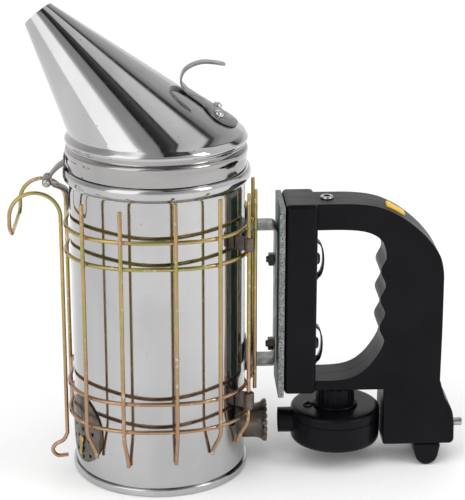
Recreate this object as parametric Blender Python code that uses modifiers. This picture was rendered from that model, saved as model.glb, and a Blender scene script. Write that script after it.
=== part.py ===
"""Electric bee smoker: a steel fire pot with a hinged spout lid, a welded wire guard,
a bracket, and a plastic handle that carries a small blower.

Every length below is in millimetres, in the pot's own frame: the pot's axis is the
Z axis, the handle lies toward +X, and the ground is at height 0.
"""
import math

import bmesh
import bpy
from mathutils import Matrix, Vector

MM = 0.001
GAP = 0.3
ROUND_STEPS = 36

# Fire pot
POT_RADIUS = 50.0
POT_WALL = 0.7
POT_BOTTOM = 2.5
RIM_TOP = 183.7
RIM_RADIUS = 53.6
BAND_RADIUS = 51.7
BAND_HEIGHT = 4.4
GRATE_HEIGHT = 43.0
GRATE_RADIUS = 47.0

# Air inlet and draught vent
INLET_HEIGHT = 24.0
INLET_RADIUS = 10.2
INLET_END = 63.3
FLARE_RADIUS = 12.6
VENT_AZIMUTH = -151.5
VENT_PLATE_AZIMUTH = -152.6
VENT_PLATE_NARROWING = 0.9
VENT_HEIGHT = 31.5
VENT_RADIUS = 20.4
VENT_PIVOT_HEIGHT = 25.5
VENT_SHEET = 0.8
VENT_CIRCLES = ((4, 6.0), (9, 11.5))
VENT_STUD = 1.5
VENT_LEVER = 10.5
VENT_LEVER_ANGLE = -12.0

# Lid
SHEET = 0.6
SKIRT_RADIUS = 51.2
SKIRT_BOTTOM = 184.0
GROOVE_RADIUS = 49.9
COLLAR_TOP = 200.6
SEAM_RADIUS = 51.9
SEAM_BOTTOM = 199.2
CONE_BASE_X = -0.6
CONE_BASE_Z = 204.2
CONE_BASE_RADIUS = 49.4
MOUTH_X = -64.1
MOUTH_Z = 270.1
MOUTH_RADIUS = 9.3
MOUTH_TILT = 39.4
MOUTH_LEAN = 2.0
HINGE_X = -62.2
HINGE_Z = 175.0
PIN_RADIUS = 1.4
KNUCKLE_RADIUS = 2.6
LEAF_THICKNESS = 1.0

# Wire guard
WIRE_RADIUS = 1.2
RING_HEIGHTS = (153.9, 138.6, 58.5, 41.4)
RING_HALF_X = 53.4
RING_HALF_Y = 53.6
RING_SQUARENESS = 2.5
RING_DIP = 1.9
RING_OPENING = 12.0
UPRIGHT_STANDOFF = 2 * WIRE_RADIUS + GAP
UPRIGHTS = ((-134.0, 173.3, 19.0), (-110.9, 172.2, 17.5), (-80.3, 176.9, 20.0),
            (-55.0, 176.9, 22.0), (-30.0, 174.1, 21.5))
END_UPRIGHT = (-12.2, 171.5, 50.0)
CLIP_SPANS = (("upper", 140.6, 148.6), ("lower", 44.8, 54.6))
HOOK_LEFT = -84.3
HOOK_ARCH_RADIUS = 14.8

# Bracket and board
STRAP_HALF_WIDTH = 10.0
STRAP_THICKNESS = 1.2
ARM_HEIGHTS = (146.7, 63.3)
BOARD_FACE = 69.0
BOARD_THICKNESS = 3.3
BOARD_HALF_WIDTH = 17.8
BOARD_BOTTOM = 45.6
BOARD_TOP = 162.1
BOLT_HEIGHTS = (("upper", 125.5), ("lower", 73.0))
BOLT_RADIUS = 2.0
BOLT_END = 62.6

# Handle
WALL = 2.0
COLUMN_RIGHT = 91.0
COLUMN_TOP = 163.0
HANDLE_BOTTOM = 47.6
HANDLE_TOP = 162.1
ARM_HALF_WIDTH = 13.0
GRIP_RIGHT = 165.0
BLOCK_LEFT = 131.6
BLOCK_RIGHT = 174.0
BLOCK_BOTTOM = 13.7
FOOT_X = 158.2
FOOT_RADIUS = 6.8
FOOT_HALF_WIDTH = 16.6
BLOCK_TOP = 52.6
BLOCK_HALF_WIDTH = 16.9
FINGER_SPAN = 17.4
FINGER_DEPTH = 1.5
BUTTON_X = 136.9
BUTTON_Z = 155.0
BUTTON_SLOPE = -30.9
BUTTON_LENGTH = 12.0
BUTTON_WIDTH = 9.0
BUTTON_TRAVEL = 1.2
SOCKET_X = 97.3
STUB_END = 181.4
STUB_HEIGHT = 20.4
CELL_RADIUS = 7.0
CELL_LENGTH = 50.0

# Blower
BLOWER_X = 104.5
VOLUTE_RADIUS = 26.5
VOLUTE_BOTTOM = 12.8
VOLUTE_TOP = 34.0
NOZZLE_END = 70.4
NOZZLE_RADIUS = 7.5
MOTOR_RADIUS = 9.4
HOUSING_RADIUS = 11.5

SHIFT_X = -(STUB_END + HOOK_LEFT) / 2


def clear_scene():
    for obj in list(bpy.data.objects):
        bpy.data.objects.remove(obj, do_unlink=True)


def new_collection(name):
    collection = bpy.data.collections.new(name)
    bpy.context.scene.collection.children.link(collection)
    return collection


clear_scene()
PARTS = new_collection("bee_smoker")


def material(name, colour, roughness, metallic):
    mat = bpy.data.materials.new(name)
    mat.use_nodes = True
    shader = mat.node_tree.nodes["Principled BSDF"]
    shader.inputs["Base Color"].default_value = (*colour, 1.0)
    shader.inputs["Roughness"].default_value = roughness
    shader.inputs["Metallic"].default_value = metallic
    mat.diffuse_color = (*colour, 1.0)
    return mat


FINISHES = {
    "mirror_steel": ((0.62, 0.62, 0.63), 0.12, 1.0),
    "dull_steel": ((0.36, 0.35, 0.34), 0.42, 1.0),
    "passivated_wire": ((0.62, 0.45, 0.24), 0.35, 1.0),
    "teal_board": ((0.05, 0.12, 0.12), 0.6, 0.0),
    "black_plastic": ((0.02, 0.02, 0.022), 0.45, 0.0),
    "yellow_plastic": ((0.85, 0.58, 0.04), 0.4, 0.0),
    "cell_wrap": ((0.12, 0.25, 0.14), 0.5, 0.0),
    "brass": ((0.6, 0.45, 0.18), 0.4, 1.0),
}


def finish(obj, name, finish_name):
    """Name the object, put it with the parts and give it its own material."""
    colour, roughness, metallic = FINISHES[finish_name]
    obj.name = name
    obj.data.name = name
    obj.data.materials.clear()
    obj.data.materials.append(material(name + "_" + finish_name, colour, roughness, metallic))
    for collection in list(obj.users_collection):
        collection.objects.unlink(obj)
    PARTS.objects.link(obj)
    return obj


def at(x, y, z):
    """A point of the pot's frame, in world metres."""
    return Vector((x + SHIFT_X, y, z)) * MM


def around(azimuth, radius, z):
    """A point at an azimuth, in degrees, round the pot's axis."""
    angle = math.radians(azimuth)
    return (radius * math.cos(angle), radius * math.sin(angle), z)


def turn(axis, degrees):
    return Matrix.Rotation(math.radians(degrees), 4, axis)


def mesh_object(bm, place):
    bmesh.ops.recalc_face_normals(bm, faces=bm.faces)
    mesh = bpy.data.meshes.new("piece")
    bm.to_mesh(mesh)
    bm.free()
    obj = bpy.data.objects.new("piece", mesh)
    bpy.context.scene.collection.objects.link(obj)
    obj.matrix_world = place
    return obj


def baked(obj, weld=False, flatten=False):
    """The same object with its modifiers, or its curve, made a plain mesh. Welding
    closes a curve's caps, and flattening merges the triangles of a flat face."""
    bpy.context.view_layer.update()
    mesh = bpy.data.meshes.new_from_object(obj.evaluated_get(bpy.context.evaluated_depsgraph_get()))
    if weld:
        bm = bmesh.new()
        bm.from_mesh(mesh)
        bmesh.ops.remove_doubles(bm, verts=bm.verts, dist=0.00001)
        bmesh.ops.recalc_face_normals(bm, faces=bm.faces)
        if flatten:
            bmesh.ops.dissolve_limit(bm, angle_limit=math.radians(0.2), verts=bm.verts,
                                     edges=bm.edges)
        bm.to_mesh(mesh)
        bm.free()
    result = bpy.data.objects.new(obj.name, mesh)
    bpy.context.scene.collection.objects.link(result)
    result.matrix_world = obj.matrix_world
    bpy.data.objects.remove(obj, do_unlink=True)
    return result


def combine(base, others, operation, solver="EXACT"):
    """Boolean the other solids into the base, and take them away."""
    for other in others:
        modifier = base.modifiers.new(operation.lower(), "BOOLEAN")
        modifier.operation = operation
        modifier.solver = solver
        modifier.object = other
    base = baked(base)
    for other in others:
        bpy.data.objects.remove(other, do_unlink=True)
    return base


def cut(base, cutters, solver="EXACT"):
    return combine(base, cutters, "DIFFERENCE", solver)


def join(base, others, solver="EXACT"):
    return combine(base, others, "UNION", solver)


def round_edges(obj, width, segments=2, angle=40.0):
    bevel = obj.modifiers.new("rounded_edges", "BEVEL")
    bevel.width = width * MM
    bevel.segments = segments
    bevel.limit_method = "ANGLE"
    bevel.angle_limit = math.radians(angle)
    return obj


def smooth_faces(obj, angle=35.0):
    obj.data.shade_smooth()
    obj.data.set_sharp_from_angle(angle=math.radians(angle))
    return obj


def pot_frame(azimuth):
    """The pot's frame turned so that X points out at an azimuth."""
    return Matrix.Translation(at(0, 0, 0)) @ turn("Z", azimuth)


def box(low, high, frame=None):
    """A block between two corners, given in the frame's own axes."""
    size = [h - l for l, h in zip(low, high)]
    centre = [(l + h) / 2 for l, h in zip(low, high)]
    bm = bmesh.new()
    bmesh.ops.create_cube(bm, size=1.0, matrix=Matrix.Diagonal((*[s * MM for s in size], 1.0)))
    if frame is None:
        frame = pot_frame(0)
    return mesh_object(bm, frame @ Matrix.Translation(Vector(centre) * MM))


def cylinder(radius, length, centre, axis="Z", sides=24):
    bm = bmesh.new()
    bmesh.ops.create_cone(bm, cap_ends=True, segments=sides, radius1=radius * MM,
                          radius2=radius * MM, depth=length * MM)
    place = {"X": turn("Y", 90), "Y": turn("X", 90), "Z": Matrix()}[axis]
    return mesh_object(bm, Matrix.Translation(at(*centre)) @ place)


def rod(radius, start, end, sides=12):
    """A cylinder between two points."""
    a, b = at(*start), at(*end)
    bm = bmesh.new()
    bmesh.ops.create_cone(bm, cap_ends=True, segments=sides, radius1=radius * MM,
                          radius2=radius * MM, depth=(b - a).length)
    facing = (b - a).to_track_quat("Z", "X").to_matrix().to_4x4()
    return mesh_object(bm, Matrix.Translation((a + b) / 2) @ facing)


def turned(profile, place, steps=ROUND_STEPS, closed=False):
    """A solid of revolution. The profile is (radius, height) down its outer side;
    a closed one is a ring's section, an open one starts and ends on the axis."""
    bm = bmesh.new()
    corners = [bm.verts.new((r * MM, 0, h * MM)) for r, h in profile]
    for a, b in zip(corners, corners[1:]):
        bm.edges.new((a, b))
    if closed:
        bm.edges.new((corners[-1], corners[0]))
    mesh = bpy.data.meshes.new("piece")
    bm.to_mesh(mesh)
    bm.free()
    obj = bpy.data.objects.new("piece", mesh)
    bpy.context.scene.collection.objects.link(obj)
    obj.matrix_world = place
    screw = obj.modifiers.new("turned", "SCREW")
    screw.steps = steps
    screw.render_steps = steps
    screw.use_merge_vertices = True
    screw.merge_threshold = 0.00001
    return smooth_faces(baked(obj, weld=True))


def on_axis(x, y, z, axis="Z"):
    place = {"X": turn("Y", 90), "Y": turn("X", -90), "Z": Matrix()}[axis]
    return Matrix.Translation(at(x, y, z)) @ place


def arc(centre_x, centre_z, radius, start, end, steps):
    points = []
    for i in range(steps + 1):
        angle = math.radians(start + (end - start) * i / steps)
        points.append((centre_x + radius * math.cos(angle), centre_z + radius * math.sin(angle)))
    return points


def smooth_path(points, steps):
    """Points on a smooth curve through the given ones, ends included."""
    vectors = [Vector(p) for p in points]
    padded = [2 * vectors[0] - vectors[1]] + vectors + [2 * vectors[-1] - vectors[-2]]
    result = []
    for a, b, c, d in zip(padded, padded[1:], padded[2:], padded[3:]):
        for i in range(steps):
            t = i / steps
            result.append(0.5 * (2 * b + (c - a) * t + (2 * a - 5 * b + 4 * c - d) * t ** 2
                                 + (3 * b - a - 3 * c + d) * t ** 3))
    result.append(vectors[-1])
    return [tuple(v) for v in result]


def inset(outline, distance):
    """A closed (x, z) outline moved sideways: inward for an anticlockwise one."""
    result = []
    count = len(outline)
    for i in range(count):
        before = Vector(outline[i]) - Vector(outline[i - 1])
        after = Vector(outline[(i + 1) % count]) - Vector(outline[i])
        normal_before = Vector((-before.y, before.x)).normalized()
        normal_after = Vector((-after.y, after.x)).normalized()
        middle = (normal_before + normal_after).normalized()
        step = distance / max(middle.dot(normal_after), 0.4)
        result.append(tuple(Vector(outline[i]) + middle * step))
    return result


def prism(outlines, y_low, y_high):
    """A flat plate with the given (x, z) outlines, the first outside, the rest holes."""
    curve = bpy.data.curves.new("outline", "CURVE")
    curve.dimensions = "2D"
    curve.fill_mode = "BOTH"
    curve.extrude = (y_high - y_low) / 2 * MM
    for outline in outlines:
        spline = curve.splines.new("POLY")
        spline.points.add(len(outline) - 1)
        for point, (x, z) in zip(spline.points, outline):
            point.co = ((x + SHIFT_X) * MM, z * MM, 0, 1)
        spline.use_cyclic_u = True
    obj = bpy.data.objects.new("piece", curve)
    bpy.context.scene.collection.objects.link(obj)
    obj.matrix_world = Matrix.Translation((0, (y_low + y_high) / 2 * MM, 0)) @ turn("X", 90)
    return baked(obj, weld=True, flatten=True)


def wire(name, points, finish_name="passivated_wire", radius=WIRE_RADIUS):
    """A bent wire with capped ends."""
    curve = bpy.data.curves.new(name, "CURVE")
    curve.dimensions = "3D"
    curve.bevel_depth = radius * MM
    curve.bevel_resolution = 1
    curve.use_fill_caps = True
    spline = curve.splines.new("POLY")
    spline.points.add(len(points) - 1)
    for point, place in zip(spline.points, points):
        point.co = (*at(*place), 1)
    obj = bpy.data.objects.new(name, curve)
    bpy.context.scene.collection.objects.link(obj)
    return smooth_faces(finish(baked(obj, weld=True), name, finish_name), 60)


def strip(points, half_width, thickness):
    """A bent flat strip. The (x, z) path runs along its middle plane, and the half
    width is a number or one number for each point."""
    widths = half_width if isinstance(half_width, list) else [half_width] * len(points)
    bm = bmesh.new()
    near = [bm.verts.new(at(x, -w, z)) for (x, z), w in zip(points, widths)]
    far = [bm.verts.new(at(x, w, z)) for (x, z), w in zip(points, widths)]
    for i in range(len(points) - 1):
        bm.faces.new((near[i], near[i + 1], far[i + 1], far[i]))
    obj = mesh_object(bm, Matrix())
    solidify = obj.modifiers.new("sheet", "SOLIDIFY")
    solidify.thickness = thickness * MM
    solidify.offset = 0
    solidify.use_even_offset = True
    return baked(obj, weld=True)


def hang_on(parent, pieces):
    """Parent pieces to an axis without moving them."""
    bpy.context.view_layer.update()
    for piece in pieces:
        piece.parent = parent
        piece.matrix_parent_inverse = parent.matrix_world.inverted()


def axis_empty(name, place):
    empty = bpy.data.objects.new(name, None)
    PARTS.objects.link(empty)
    empty.matrix_world = place
    return empty


def rivet_profile(head_radius, head_height, shank_radius, grip, tail_radius):
    """A dome-headed rivet that starts at its dome's top, with height 0 under the head."""
    dome = [(head_radius * math.sin(math.radians(a)), head_height * math.cos(math.radians(a)))
            for a in (0, 30, 60, 90)]
    shank = [(shank_radius, 0), (shank_radius, -grip), (tail_radius, -grip)]
    return dome + shank + [(tail_radius, -grip - 0.6), (0, -grip - 0.6)]


# ---------------------------------------------------------------- fire pot

def fire_pot_shell():
    inner = POT_RADIUS - POT_WALL
    profile = [(inner, RIM_TOP), (51.2, RIM_TOP), (52.7, 183.0), (RIM_RADIUS, 181.4),
               (RIM_RADIUS, 178.6), (52.9, 177.3), (51.2, 176.4), (POT_RADIUS, 175.2),
               (POT_RADIUS, POT_BOTTOM), (inner, POT_BOTTOM)]
    pot = turned(profile, on_axis(0, 0, 0), closed=True)
    x, y, z = around(VENT_AZIMUTH, POT_RADIUS, VENT_PIVOT_HEIGHT)
    vent_hole = rod(12.0, (0.8 * x, 0.8 * y, z), (1.2 * x, 1.2 * y, z), 24)
    inlet_hole = cylinder(INLET_RADIUS + GAP, 16, (POT_RADIUS, 0, INLET_HEIGHT), "X")
    pot = cut(pot, [vent_hole, inlet_hole])
    return smooth_faces(finish(pot, "fire_pot_shell", "mirror_steel"))


def base_pan():
    profile = [(0, 2.2), (POT_RADIUS + GAP, 2.2), (POT_RADIUS + GAP, BAND_HEIGHT),
               (51.2, BAND_HEIGHT), (BAND_RADIUS, 3.7), (BAND_RADIUS, 0.5), (51.2, 0),
               (49.2, 0), (48.8, 1.4), (0, 1.4)]
    pan = turned(profile, on_axis(0, 0, 0))
    return smooth_faces(finish(pan, "base_pan", "dull_steel"))


def ash_grate():
    plate = cylinder(GRATE_RADIUS, 1.0, (0, 0, GRATE_HEIGHT + 0.5), "Z", 32)
    holes = []
    for count, ring in ((1, 0.0), (6, 15.0), (8, 31.0)):
        for i in range(count):
            x, y, z = around(360.0 * i / count, ring, GRATE_HEIGHT)
            holes.append(cylinder(3.0, 6, (x, y, z), "Z", 8))
    plate = cut(plate, holes)
    legs = [box((41.4, -5, 2.6), (42.6, 5, GRATE_HEIGHT + 0.6), pot_frame(60 + 120 * i))
            for i in range(3)]
    return finish(join(plate, legs), "ash_grate", "dull_steel")


def air_inlet_tube():
    inner = INLET_RADIUS - 0.8
    profile = [(inner, 0), (inner, 9.5), (10.4, 13.2), (FLARE_RADIUS - 0.9, INLET_END - 47.0),
               (FLARE_RADIUS, INLET_END - 47.0), (11.3, 13.0), (INLET_RADIUS, 9.0),
               (INLET_RADIUS, 0)]
    tube = turned(profile[::-1][1:] + [profile[-1]], on_axis(47.0, 0, INLET_HEIGHT, "X"), 28,
                  closed=True)
    return smooth_faces(finish(tube, "air_inlet_tube", "dull_steel"))


def vent_frame():
    """The shutter's frame: Z out of the pot's wall, X straight down, from the pot's axis."""
    pivot = Matrix.Translation((0, 0, VENT_PIVOT_HEIGHT * MM))
    return pot_frame(VENT_AZIMUTH) @ pivot @ turn("Y", 90)


def vent_ports(radius, circles, low, high):
    """Round cutters through the vent, each circle of them a count and a radius, between
    two distances from the pot's axis."""
    ports = []
    for count, ring in circles:
        for i in range(count):
            place = vent_frame() @ turn("Z", 360.0 * i / count)
            bm = bmesh.new()
            bmesh.ops.create_cone(bm, cap_ends=True, segments=8, radius1=radius * MM,
                                  radius2=radius * MM, depth=(high - low) * MM)
            ports.append(mesh_object(bm, place @ Matrix.Translation(
                (ring * MM, 0, (low + high) / 2 * MM))))
    return ports


def vent_disc():
    """A perforated plate, a little taller than wide, bent to the pot's wall."""
    inner, outer = POT_RADIUS + GAP, POT_RADIUS + GAP + VENT_SHEET
    band = turned([(outer, 60), (outer, 5), (inner, 5), (inner, 60)], on_axis(0, 0, 0), 46, True)
    x, y, z = around(VENT_PLATE_AZIMUTH, POT_RADIUS, VENT_HEIGHT)
    outline = rod(VENT_RADIUS, (0.6 * x, 0.6 * y, z), (1.3 * x, 1.3 * y, z), 28)
    outline.matrix_world @= Matrix.Diagonal((1, VENT_PLATE_NARROWING, 1, 1))
    disc = combine(band, [outline], "INTERSECT")
    disc = cut(disc, vent_ports(1.2, VENT_CIRCLES, 44, 56)
               + vent_ports(VENT_STUD + GAP, ((1, 0.0),), 44, 56))
    return smooth_faces(finish(disc, "vent_disc", "dull_steel"))


def vent_shutter():
    """A round plate inside the vent, turned by a lever on the stud they share."""
    plate_low, plate_top = 46.8, 47.6
    lever_low = POT_RADIUS + 2 * GAP + VENT_SHEET
    lever_top = lever_low + 0.8
    profile = [(0, lever_top + 1.0), (1.5, lever_top + 0.7), (2.2, lever_top), (VENT_STUD, lever_top),
               (VENT_STUD, plate_top), (10.0, plate_top), (10.0, plate_low), (0, plate_low)]
    shutter = turned(profile, vent_frame(), 20)
    lever = box((-1.2, -1.2, lever_low), (VENT_LEVER, 1.2, lever_top + 0.05),
                vent_frame() @ turn("Z", VENT_LEVER_ANGLE))
    shutter = cut(join(shutter, [lever]), vent_ports(1.6, VENT_CIRCLES[:1], 45, 49))
    return smooth_faces(finish(shutter, "vent_shutter", "brass"))


# ---------------------------------------------------------------- lid

def ring_point(centre_x, centre_z, radius, tilt, azimuth):
    """A point on a circle square to the lid's middle plane, tipped by the tilt."""
    lean, angle = math.radians(tilt), math.radians(azimuth)
    along = radius * math.cos(angle)
    return Vector((centre_x + along * math.cos(lean), radius * math.sin(angle),
                   centre_z + along * math.sin(lean)))


def spout_point(down, azimuth):
    """A point of the spout's outside, a fraction of the way down from its mouth."""
    mouth = ring_point(MOUTH_X, MOUTH_Z, MOUTH_RADIUS, MOUTH_TILT, azimuth)
    tilt = math.radians(MOUTH_TILT)
    mouth -= Vector((-math.sin(tilt), 0, math.cos(tilt))) * MOUTH_LEAN * math.sin(math.radians(azimuth))
    foot = ring_point(CONE_BASE_X, CONE_BASE_Z, CONE_BASE_RADIUS, 0.0, azimuth)
    return mouth.lerp(foot, down)


def spout_normal(down, azimuth):
    along = spout_point(down + 0.01, azimuth) - spout_point(down - 0.01, azimuth)
    across = spout_point(down, azimuth + 1) - spout_point(down, azimuth - 1)
    return along.cross(across).normalized()


def sheet_between(rows, closed):
    """An open sheet through rows of points, with its outer side out."""
    bm = bmesh.new()
    lines = [[bm.verts.new(at(*point)) for point in row] for row in rows]
    for upper, lower in zip(lines, lines[1:]):
        count = len(upper)
        for i in range(count if closed else count - 1):
            j = (i + 1) % count
            bm.faces.new((upper[i], lower[i], lower[j], upper[j]))
    mesh = bpy.data.meshes.new("piece")
    bm.to_mesh(mesh)
    bm.free()
    obj = bpy.data.objects.new("piece", mesh)
    bpy.context.scene.collection.objects.link(obj)
    return obj


def lid_cone():
    """The leaning spout: straight lines of sheet from its tipped mouth down to its
    round foot, which turns over into the seam."""
    azimuths = [360.0 * i / ROUND_STEPS for i in range(ROUND_STEPS)]
    rows = [[spout_point(down, azimuth) for azimuth in azimuths] for down in (0.0, 0.5, 1.0)]
    for z, radius in ((3.6, SEAM_RADIUS - 1.2), (1.9, SEAM_RADIUS - 0.1), (0.8, SEAM_RADIUS),
                      (0.0, SEAM_RADIUS - 0.4)):
        rows.append([ring_point(0, SEAM_BOTTOM + z, radius, 0, azimuth) for azimuth in azimuths])
    cone = sheet_between(rows, closed=True)
    solidify = cone.modifiers.new("sheet", "SOLIDIFY")
    solidify.thickness = SHEET * MM
    solidify.offset = -1
    cone = cut(baked(cone, weld=True), [tab_rivet_hole(side) for side in (-1, 1)])
    return smooth_faces(finish(cone, "lid_cone", "mirror_steel"))


def lid_collar():
    inner = GROOVE_RADIUS - 0.7
    profile = [(inner, COLLAR_TOP), (50.4, COLLAR_TOP), (50.4, 198.2), (GROOVE_RADIUS, 197.2),
               (GROOVE_RADIUS, 196.4), (51.3, 195.0), (51.8, 193.6), (51.6, 191.8),
               (SKIRT_RADIUS, 190.8), (SKIRT_RADIUS, SKIRT_BOTTOM), (inner, SKIRT_BOTTOM)]
    collar = turned(profile, on_axis(0, 0, 0), closed=True)
    return smooth_faces(finish(collar, "lid_collar", "mirror_steel"))


# The finger tab's plate: how far down the spout each row lies, and its half angle
TAB_ROWS = ((0.968, 5.0), (0.958, 12.5), (0.94, 18.0), (0.905, 21.5), (0.865, 21.5),
            (0.83, 18.0), (0.80, 14.0), (0.76, 12.3), (0.71, 12.0))
TAB_CURL = ((16.4, 227.6), (14.6, 230.0), (14.1, 232.6), (15.6, 236.9), (19.5, 240.2),
            (26.0, 242.3), (33.0, 242.0), (39.0, 240.8))
TAB_NECK, TAB_TIP = 7.4, 4.0
TAB_THICKNESS = 1.0
TAB_LIFT = GAP + 0.15
TAB_RIVET_DOWN = 0.872
TAB_RIVET_AZIMUTH = 13.0


def tab_rivet_hole(side):
    azimuth = side * TAB_RIVET_AZIMUTH
    point, normal = spout_point(TAB_RIVET_DOWN, azimuth), spout_normal(TAB_RIVET_DOWN, azimuth)
    return rod(1.4, point - 4 * normal, point + 5 * normal, 10)


def finger_tab():
    """A plate bent to the spout, with a narrow tongue that curls up and over."""
    across = (-1.0, -0.5, 0.0, 0.5, 1.0)
    lift = TAB_LIFT + TAB_THICKNESS / 2
    rows = [[spout_point(down, share * reach) + lift * spout_normal(down, share * reach)
             for share in across] for down, reach in TAB_ROWS]
    curl = smooth_path(TAB_CURL, 2)
    for i, (x, z) in enumerate(curl):
        half = TAB_TIP + (TAB_NECK - TAB_TIP) * (1 - i / (len(curl) - 1)) ** 3
        rows.append([Vector((x, share * half, z)) for share in across])
    tab = sheet_between(rows[::-1], closed=False)
    solidify = tab.modifiers.new("sheet", "SOLIDIFY")
    solidify.thickness = TAB_THICKNESS * MM
    solidify.offset = 0
    tab = cut(baked(tab, weld=True), [tab_rivet_hole(side) for side in (-1, 1)])
    return smooth_faces(finish(tab, "finger_tab", "dull_steel"))


def tab_rivet(name, side):
    lift = TAB_LIFT + TAB_THICKNESS + GAP
    azimuth = side * TAB_RIVET_AZIMUTH
    point, normal = spout_point(TAB_RIVET_DOWN, azimuth), spout_normal(TAB_RIVET_DOWN, azimuth)
    facing = normal.to_track_quat("Z", "Y").to_matrix().to_4x4()
    profile = rivet_profile(2.8, 1.5, 1.0, lift + SHEET + 0.9, 1.9)
    rivet = turned(profile, Matrix.Translation(at(*(point + lift * normal))) @ facing, 12)
    return smooth_faces(finish(rivet, name, "dull_steel"))


def knuckle(y_low, y_high):
    return rod(KNUCKLE_RADIUS, (HINGE_X, y_low, HINGE_Z), (HINGE_X, y_high, HINGE_Z), 16)


def pin_hole():
    return rod(PIN_RADIUS + GAP, (HINGE_X, -12, HINGE_Z), (HINGE_X, 12, HINGE_Z), 16)


def hinge_leaf_lid():
    face = -(SKIRT_RADIUS + GAP + LEAF_THICKNESS / 2)
    path = [(HINGE_X + 1.0, HINGE_Z + 1.9), (-57.0, 182.0), (face - 1.6, 184.6),
            (face - 0.3, 185.7), (face, 187.0), (face, 190.4)]
    leaf = strip(path, 6.5, LEAF_THICKNESS)
    leaf = join(leaf, [knuckle(-6.5, -2.7), knuckle(2.7, 6.5)])
    slot = box((HINGE_X - 4, -2.7, HINGE_Z - 4), (HINGE_X + 3.6, 2.7, HINGE_Z + 3.6))
    leaf = cut(leaf, [pin_hole(), slot])
    return smooth_faces(finish(leaf, "hinge_leaf_lid", "dull_steel"))


def hinge_leaf_body():
    face = -(POT_RADIUS + GAP + LEAF_THICKNESS / 2)
    path = [(HINGE_X + 1.2, HINGE_Z - 1.8), (-58.0, 172.4), (-53.6, 170.5), (face - 0.6, 168.9),
            (face, 167.0), (face, 158.5)]
    leaf = strip(path, 5.0, LEAF_THICKNESS)
    narrow = [box((HINGE_X - 4, side * 5 - 2.6, HINGE_Z - 5), (HINGE_X + 3.2, side * 5 + 2.6,
                                                               HINGE_Z + 4)) for side in (-1, 1)]
    leaf = join(cut(leaf, narrow), [knuckle(-2.4, 2.4)])
    eye = rod(1.3, (-57.6, 0, 168.0), (-55.4, 0, 175.0), 10)
    leaf = cut(leaf, [pin_hole(), eye])
    return smooth_faces(finish(leaf, "hinge_leaf_body", "dull_steel"))


def hinge_pin():
    half = 6.5 + GAP
    profile = [(0, half + 0.9), (2.2, half + 0.9), (2.2, half), (PIN_RADIUS, half),
               (PIN_RADIUS, -half), (2.2, -half), (2.2, -half - 0.9), (0, -half - 0.9)]
    pin = turned(profile, on_axis(HINGE_X, 0, HINGE_Z, "Y"), 16)
    return smooth_faces(finish(pin, "hinge_pin", "dull_steel"))


# ---------------------------------------------------------------- wire guard

def ring_radius(azimuth):
    """The guard's rounded-square plan, drawn in against the pot at the hinge side."""
    angle = math.radians(azimuth)
    n = RING_SQUARENESS
    spread = (abs(math.cos(angle)) / RING_HALF_X) ** n + (abs(math.sin(angle)) / RING_HALF_Y) ** n
    from_hinge = (azimuth % 360.0 - 180.0) / 13.0
    return spread ** (-1 / n) - RING_DIP * math.exp(-from_hinge ** 2)


def guard_ring(index, height):
    steps = 30
    span = 360.0 - 2 * RING_OPENING
    points = []
    for i in range(steps + 1):
        azimuth = RING_OPENING + span * i / steps
        points.append(around(azimuth, ring_radius(azimuth), height))
    return wire("guard_ring_%d" % (index + 1), points)


def guard_upright(name, azimuth, top, bottom):
    """A straight wire outside the rings whose foot bends in to the pot's wall."""
    radius = ring_radius(azimuth) + UPRIGHT_STANDOFF
    foot_radius = POT_RADIUS + GAP + WIRE_RADIUS + 0.2
    if abs(azimuth - VENT_AZIMUTH) < 28:
        foot_radius += VENT_SHEET + GAP
    lowest_ring = RING_HEIGHTS[-1] - WIRE_RADIUS - 1.0
    bend = [around(azimuth, radius, top), around(azimuth, radius, lowest_ring)]
    for t in (0.35, 0.7, 1.0):
        ease = t * t * (3 - 2 * t)
        bend.append(around(azimuth, radius + (foot_radius - radius) * ease,
                           lowest_ring + (bottom - lowest_ring) * t))
    return wire(name, bend)


def end_upright(name, side):
    azimuth, top, bottom = END_UPRIGHT
    radius = ring_radius(azimuth) + UPRIGHT_STANDOFF
    return wire(name, [around(side * -azimuth, radius, top), around(side * -azimuth, radius, bottom)])


def hook_arch(centre_x, centre_z, radius, y):
    return [(x, y, z) for x, z in arc(centre_x, centre_z, radius, 0, 180, 10)]


def hook_frame():
    """One wire: the near leg with its S-bend, over the hook, and down the far leg."""
    azimuth = -160.4
    near_x, near_y, _ = around(azimuth, ring_radius(azimuth) + UPRIGHT_STANDOFF, 0)
    far_azimuth = 156.0
    far_x, far_y, _ = around(far_azimuth, ring_radius(far_azimuth) + UPRIGHT_STANDOFF, 0)
    foot = [(near_x + 0.2, near_y, 13.0), (near_x - 5.6, near_y, 12.6), (near_x - 8.2, near_y, 14.6),
            (near_x - 8.6, near_y, 17.4), (near_x - 6.4, near_y, 20.2), (near_x - 2.4, near_y, 22.4),
            (near_x, near_y, 27.0)]
    reach = HOOK_LEFT + WIRE_RADIUS
    near_radius = (near_x - reach) / 2
    near_arch = hook_arch(near_x - near_radius, 158.8, near_radius, near_y)
    far_reach = reach + 3.2
    far_radius = (far_x - far_reach) / 2
    far_arch = hook_arch(far_x - far_radius, 156.0, far_radius, far_y)
    tip = [(reach, near_y, 153.0), (reach + 0.8, near_y + 2.0, 149.6), (reach + 1.2, near_y + 6.0, 148.6),
           (far_reach - 1.0, far_y - 6.0, 148.6), (far_reach - 0.4, far_y - 2.0, 149.6),
           (far_reach, far_y, 152.6)]
    far_leg = [(far_x, far_y, 22.0)]
    points = smooth_path(foot, 2) + near_arch + tip + far_arch[::-1] + far_leg
    return wire("hook_frame", points)


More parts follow.
